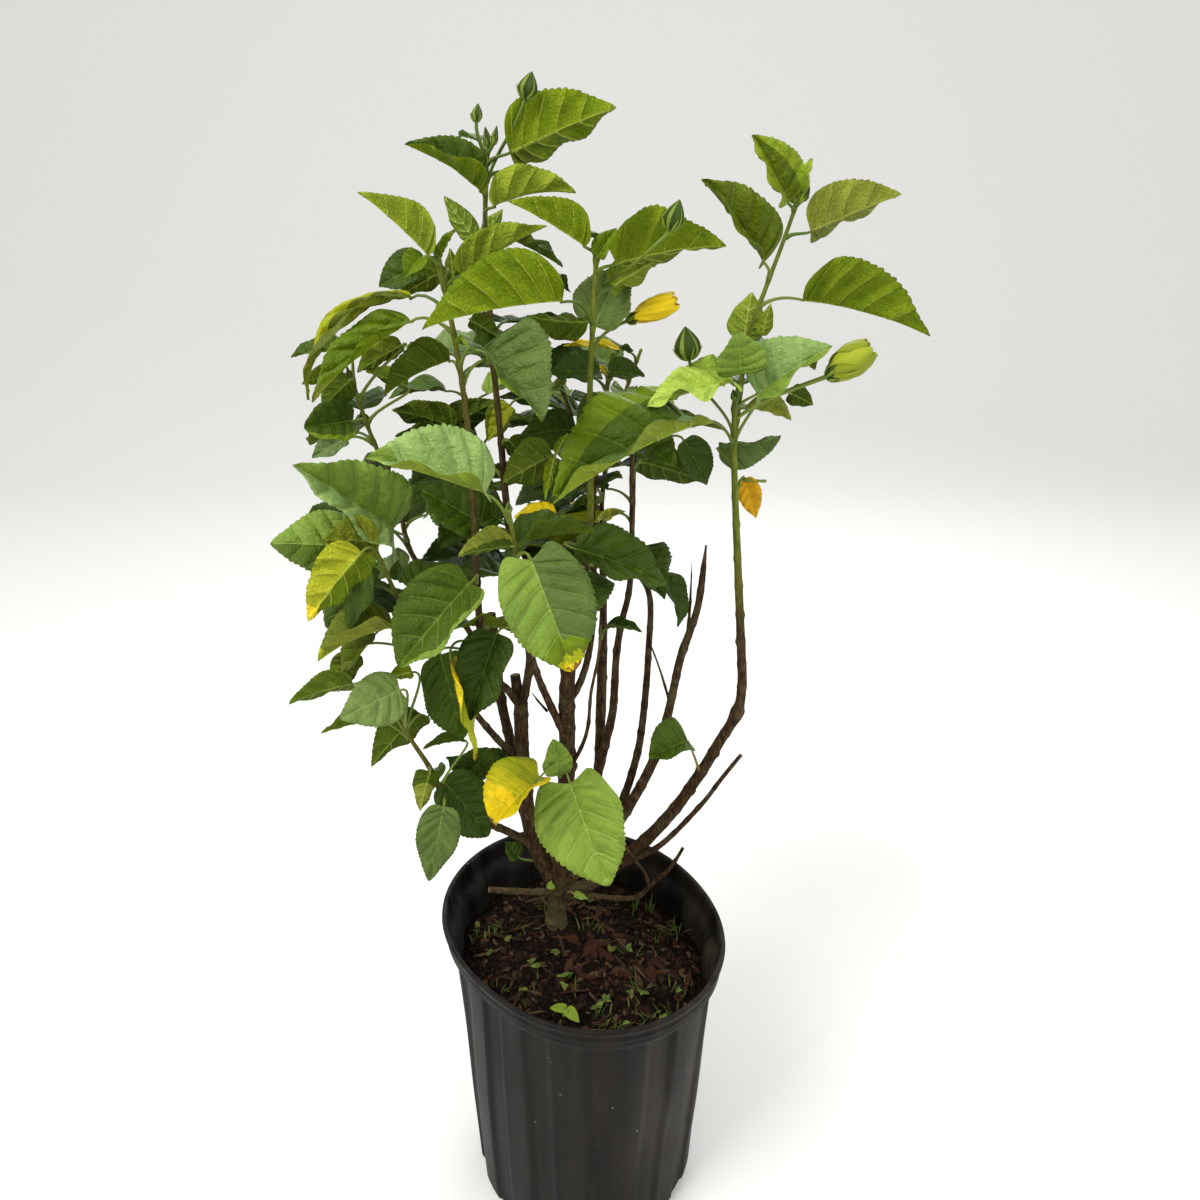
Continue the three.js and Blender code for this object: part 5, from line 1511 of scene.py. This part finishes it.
for key, s in SOUPS.items():
    ob = s.make(key)
    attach(ob, "root")
    if key in OWNS:
        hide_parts(*[n for n in OWNS[key] if n in nodes])
    total += s.tris()
    print(key, s.tris())
stems = STEM.make("stems_with_bark", attr="wood", uvname="OFBake")
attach(stems, "root")
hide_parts(*stem_nodes)
buds = BUDS.make("buds_and_blossom")
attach(buds, "root")
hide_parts("yellow_bud")
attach(pot, "root")
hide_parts("nursery_pot")
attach(soil, "root")
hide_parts("potting_soil")
chips = CHIPS.make("bark_chips", smooth=False)
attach(chips, "root")
weeds = WEED.make("pot_weeds")
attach(weeds, "root")
print("stems", STEM.tris(), "buds", BUDS.tris(), "pot", POT.tris(), "soil", SOIL.tris(), "chips", CHIPS.tris(), "weeds", WEED.tris(), "total", total + STEM.tris() + BUDS.tris() + POT.tris() + SOIL.tris() + CHIPS.tris() + WEED.tris())

# ---------------------------------------------------------- floor and light
SWEEP = [(-7.0, 0.0), (2.6, 0.0)]
SWEEP += [(2.6 + 2.4 * math.sin(a), 2.4 - 2.4 * math.cos(a)) for a in np.linspace(0.05, math.pi / 2, 24)]
SWEEP += [(5.0, 9.0)]
me = bpy.data.meshes.new("backdrop")
me.from_pydata([(x, y, z) for y, z in SWEEP for x in (-9, 9)], [], [(2 * i, 2 * i + 1, 2 * i + 3, 2 * i + 2) for i in range(len(SWEEP) - 1)])
for poly in me.polygons:
    poly.use_smooth = True
floor = bpy.data.objects.new("backdrop", me)
bpy.context.scene.collection.objects.link(floor)
fm = new_mat("backdrop_paint", (0.80, 0.80, 0.79, 1), 0.9, 0.05)
floor.data.materials.append(fm)
floor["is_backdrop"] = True
world = bpy.data.worlds.new("studio")
bpy.context.scene.world = world
world.use_nodes = True
world.node_tree.nodes["Background"].inputs["Color"].default_value = (1.0, 0.995, 0.98, 1)
world.node_tree.nodes["Background"].inputs["Strength"].default_value = 0.85


def area(name, loc, target, size, power, color=(1, 1, 1)):
    d = bpy.data.lights.new(name, "AREA")
    d.energy, d.size, d.color = power, size, color
    o = bpy.data.objects.new(name, d)
    bpy.context.scene.collection.objects.link(o)
    o.location = loc
    v = np.array(target) - np.array(loc)
    from mathutils import Vector
    o.rotation_euler = Vector(v).to_track_quat("-Z", "Y").to_euler()
    return o


area("key", (-1.3, -1.1, 2.7), (0, 0, .6), 1.2, 62, (1, 0.98, 0.94))
area("fill", (1.8, -1.2, 1.5), (0, 0, .5), 1.6, 16, (1, 0.96, 0.9))
area("back", (0.6, 1.9, 2.2), (0, 0, .7), 1.4, 26, (0.95, 0.98, 1))

cam = bpy.data.cameras.new("camera")
cam.sensor_width, cam.lens = 36.0, 27.0
co = bpy.data.objects.new("camera", cam)
bpy.context.scene.collection.objects.link(co)
co.location = tuple(CAM)
co.rotation_euler = (math.radians(90 - 22.3), 0, 0)
bpy.context.scene.camera = co
bpy.context.scene.view_settings.view_transform = "Standard"
bpy.context.scene.view_settings.look = "None"
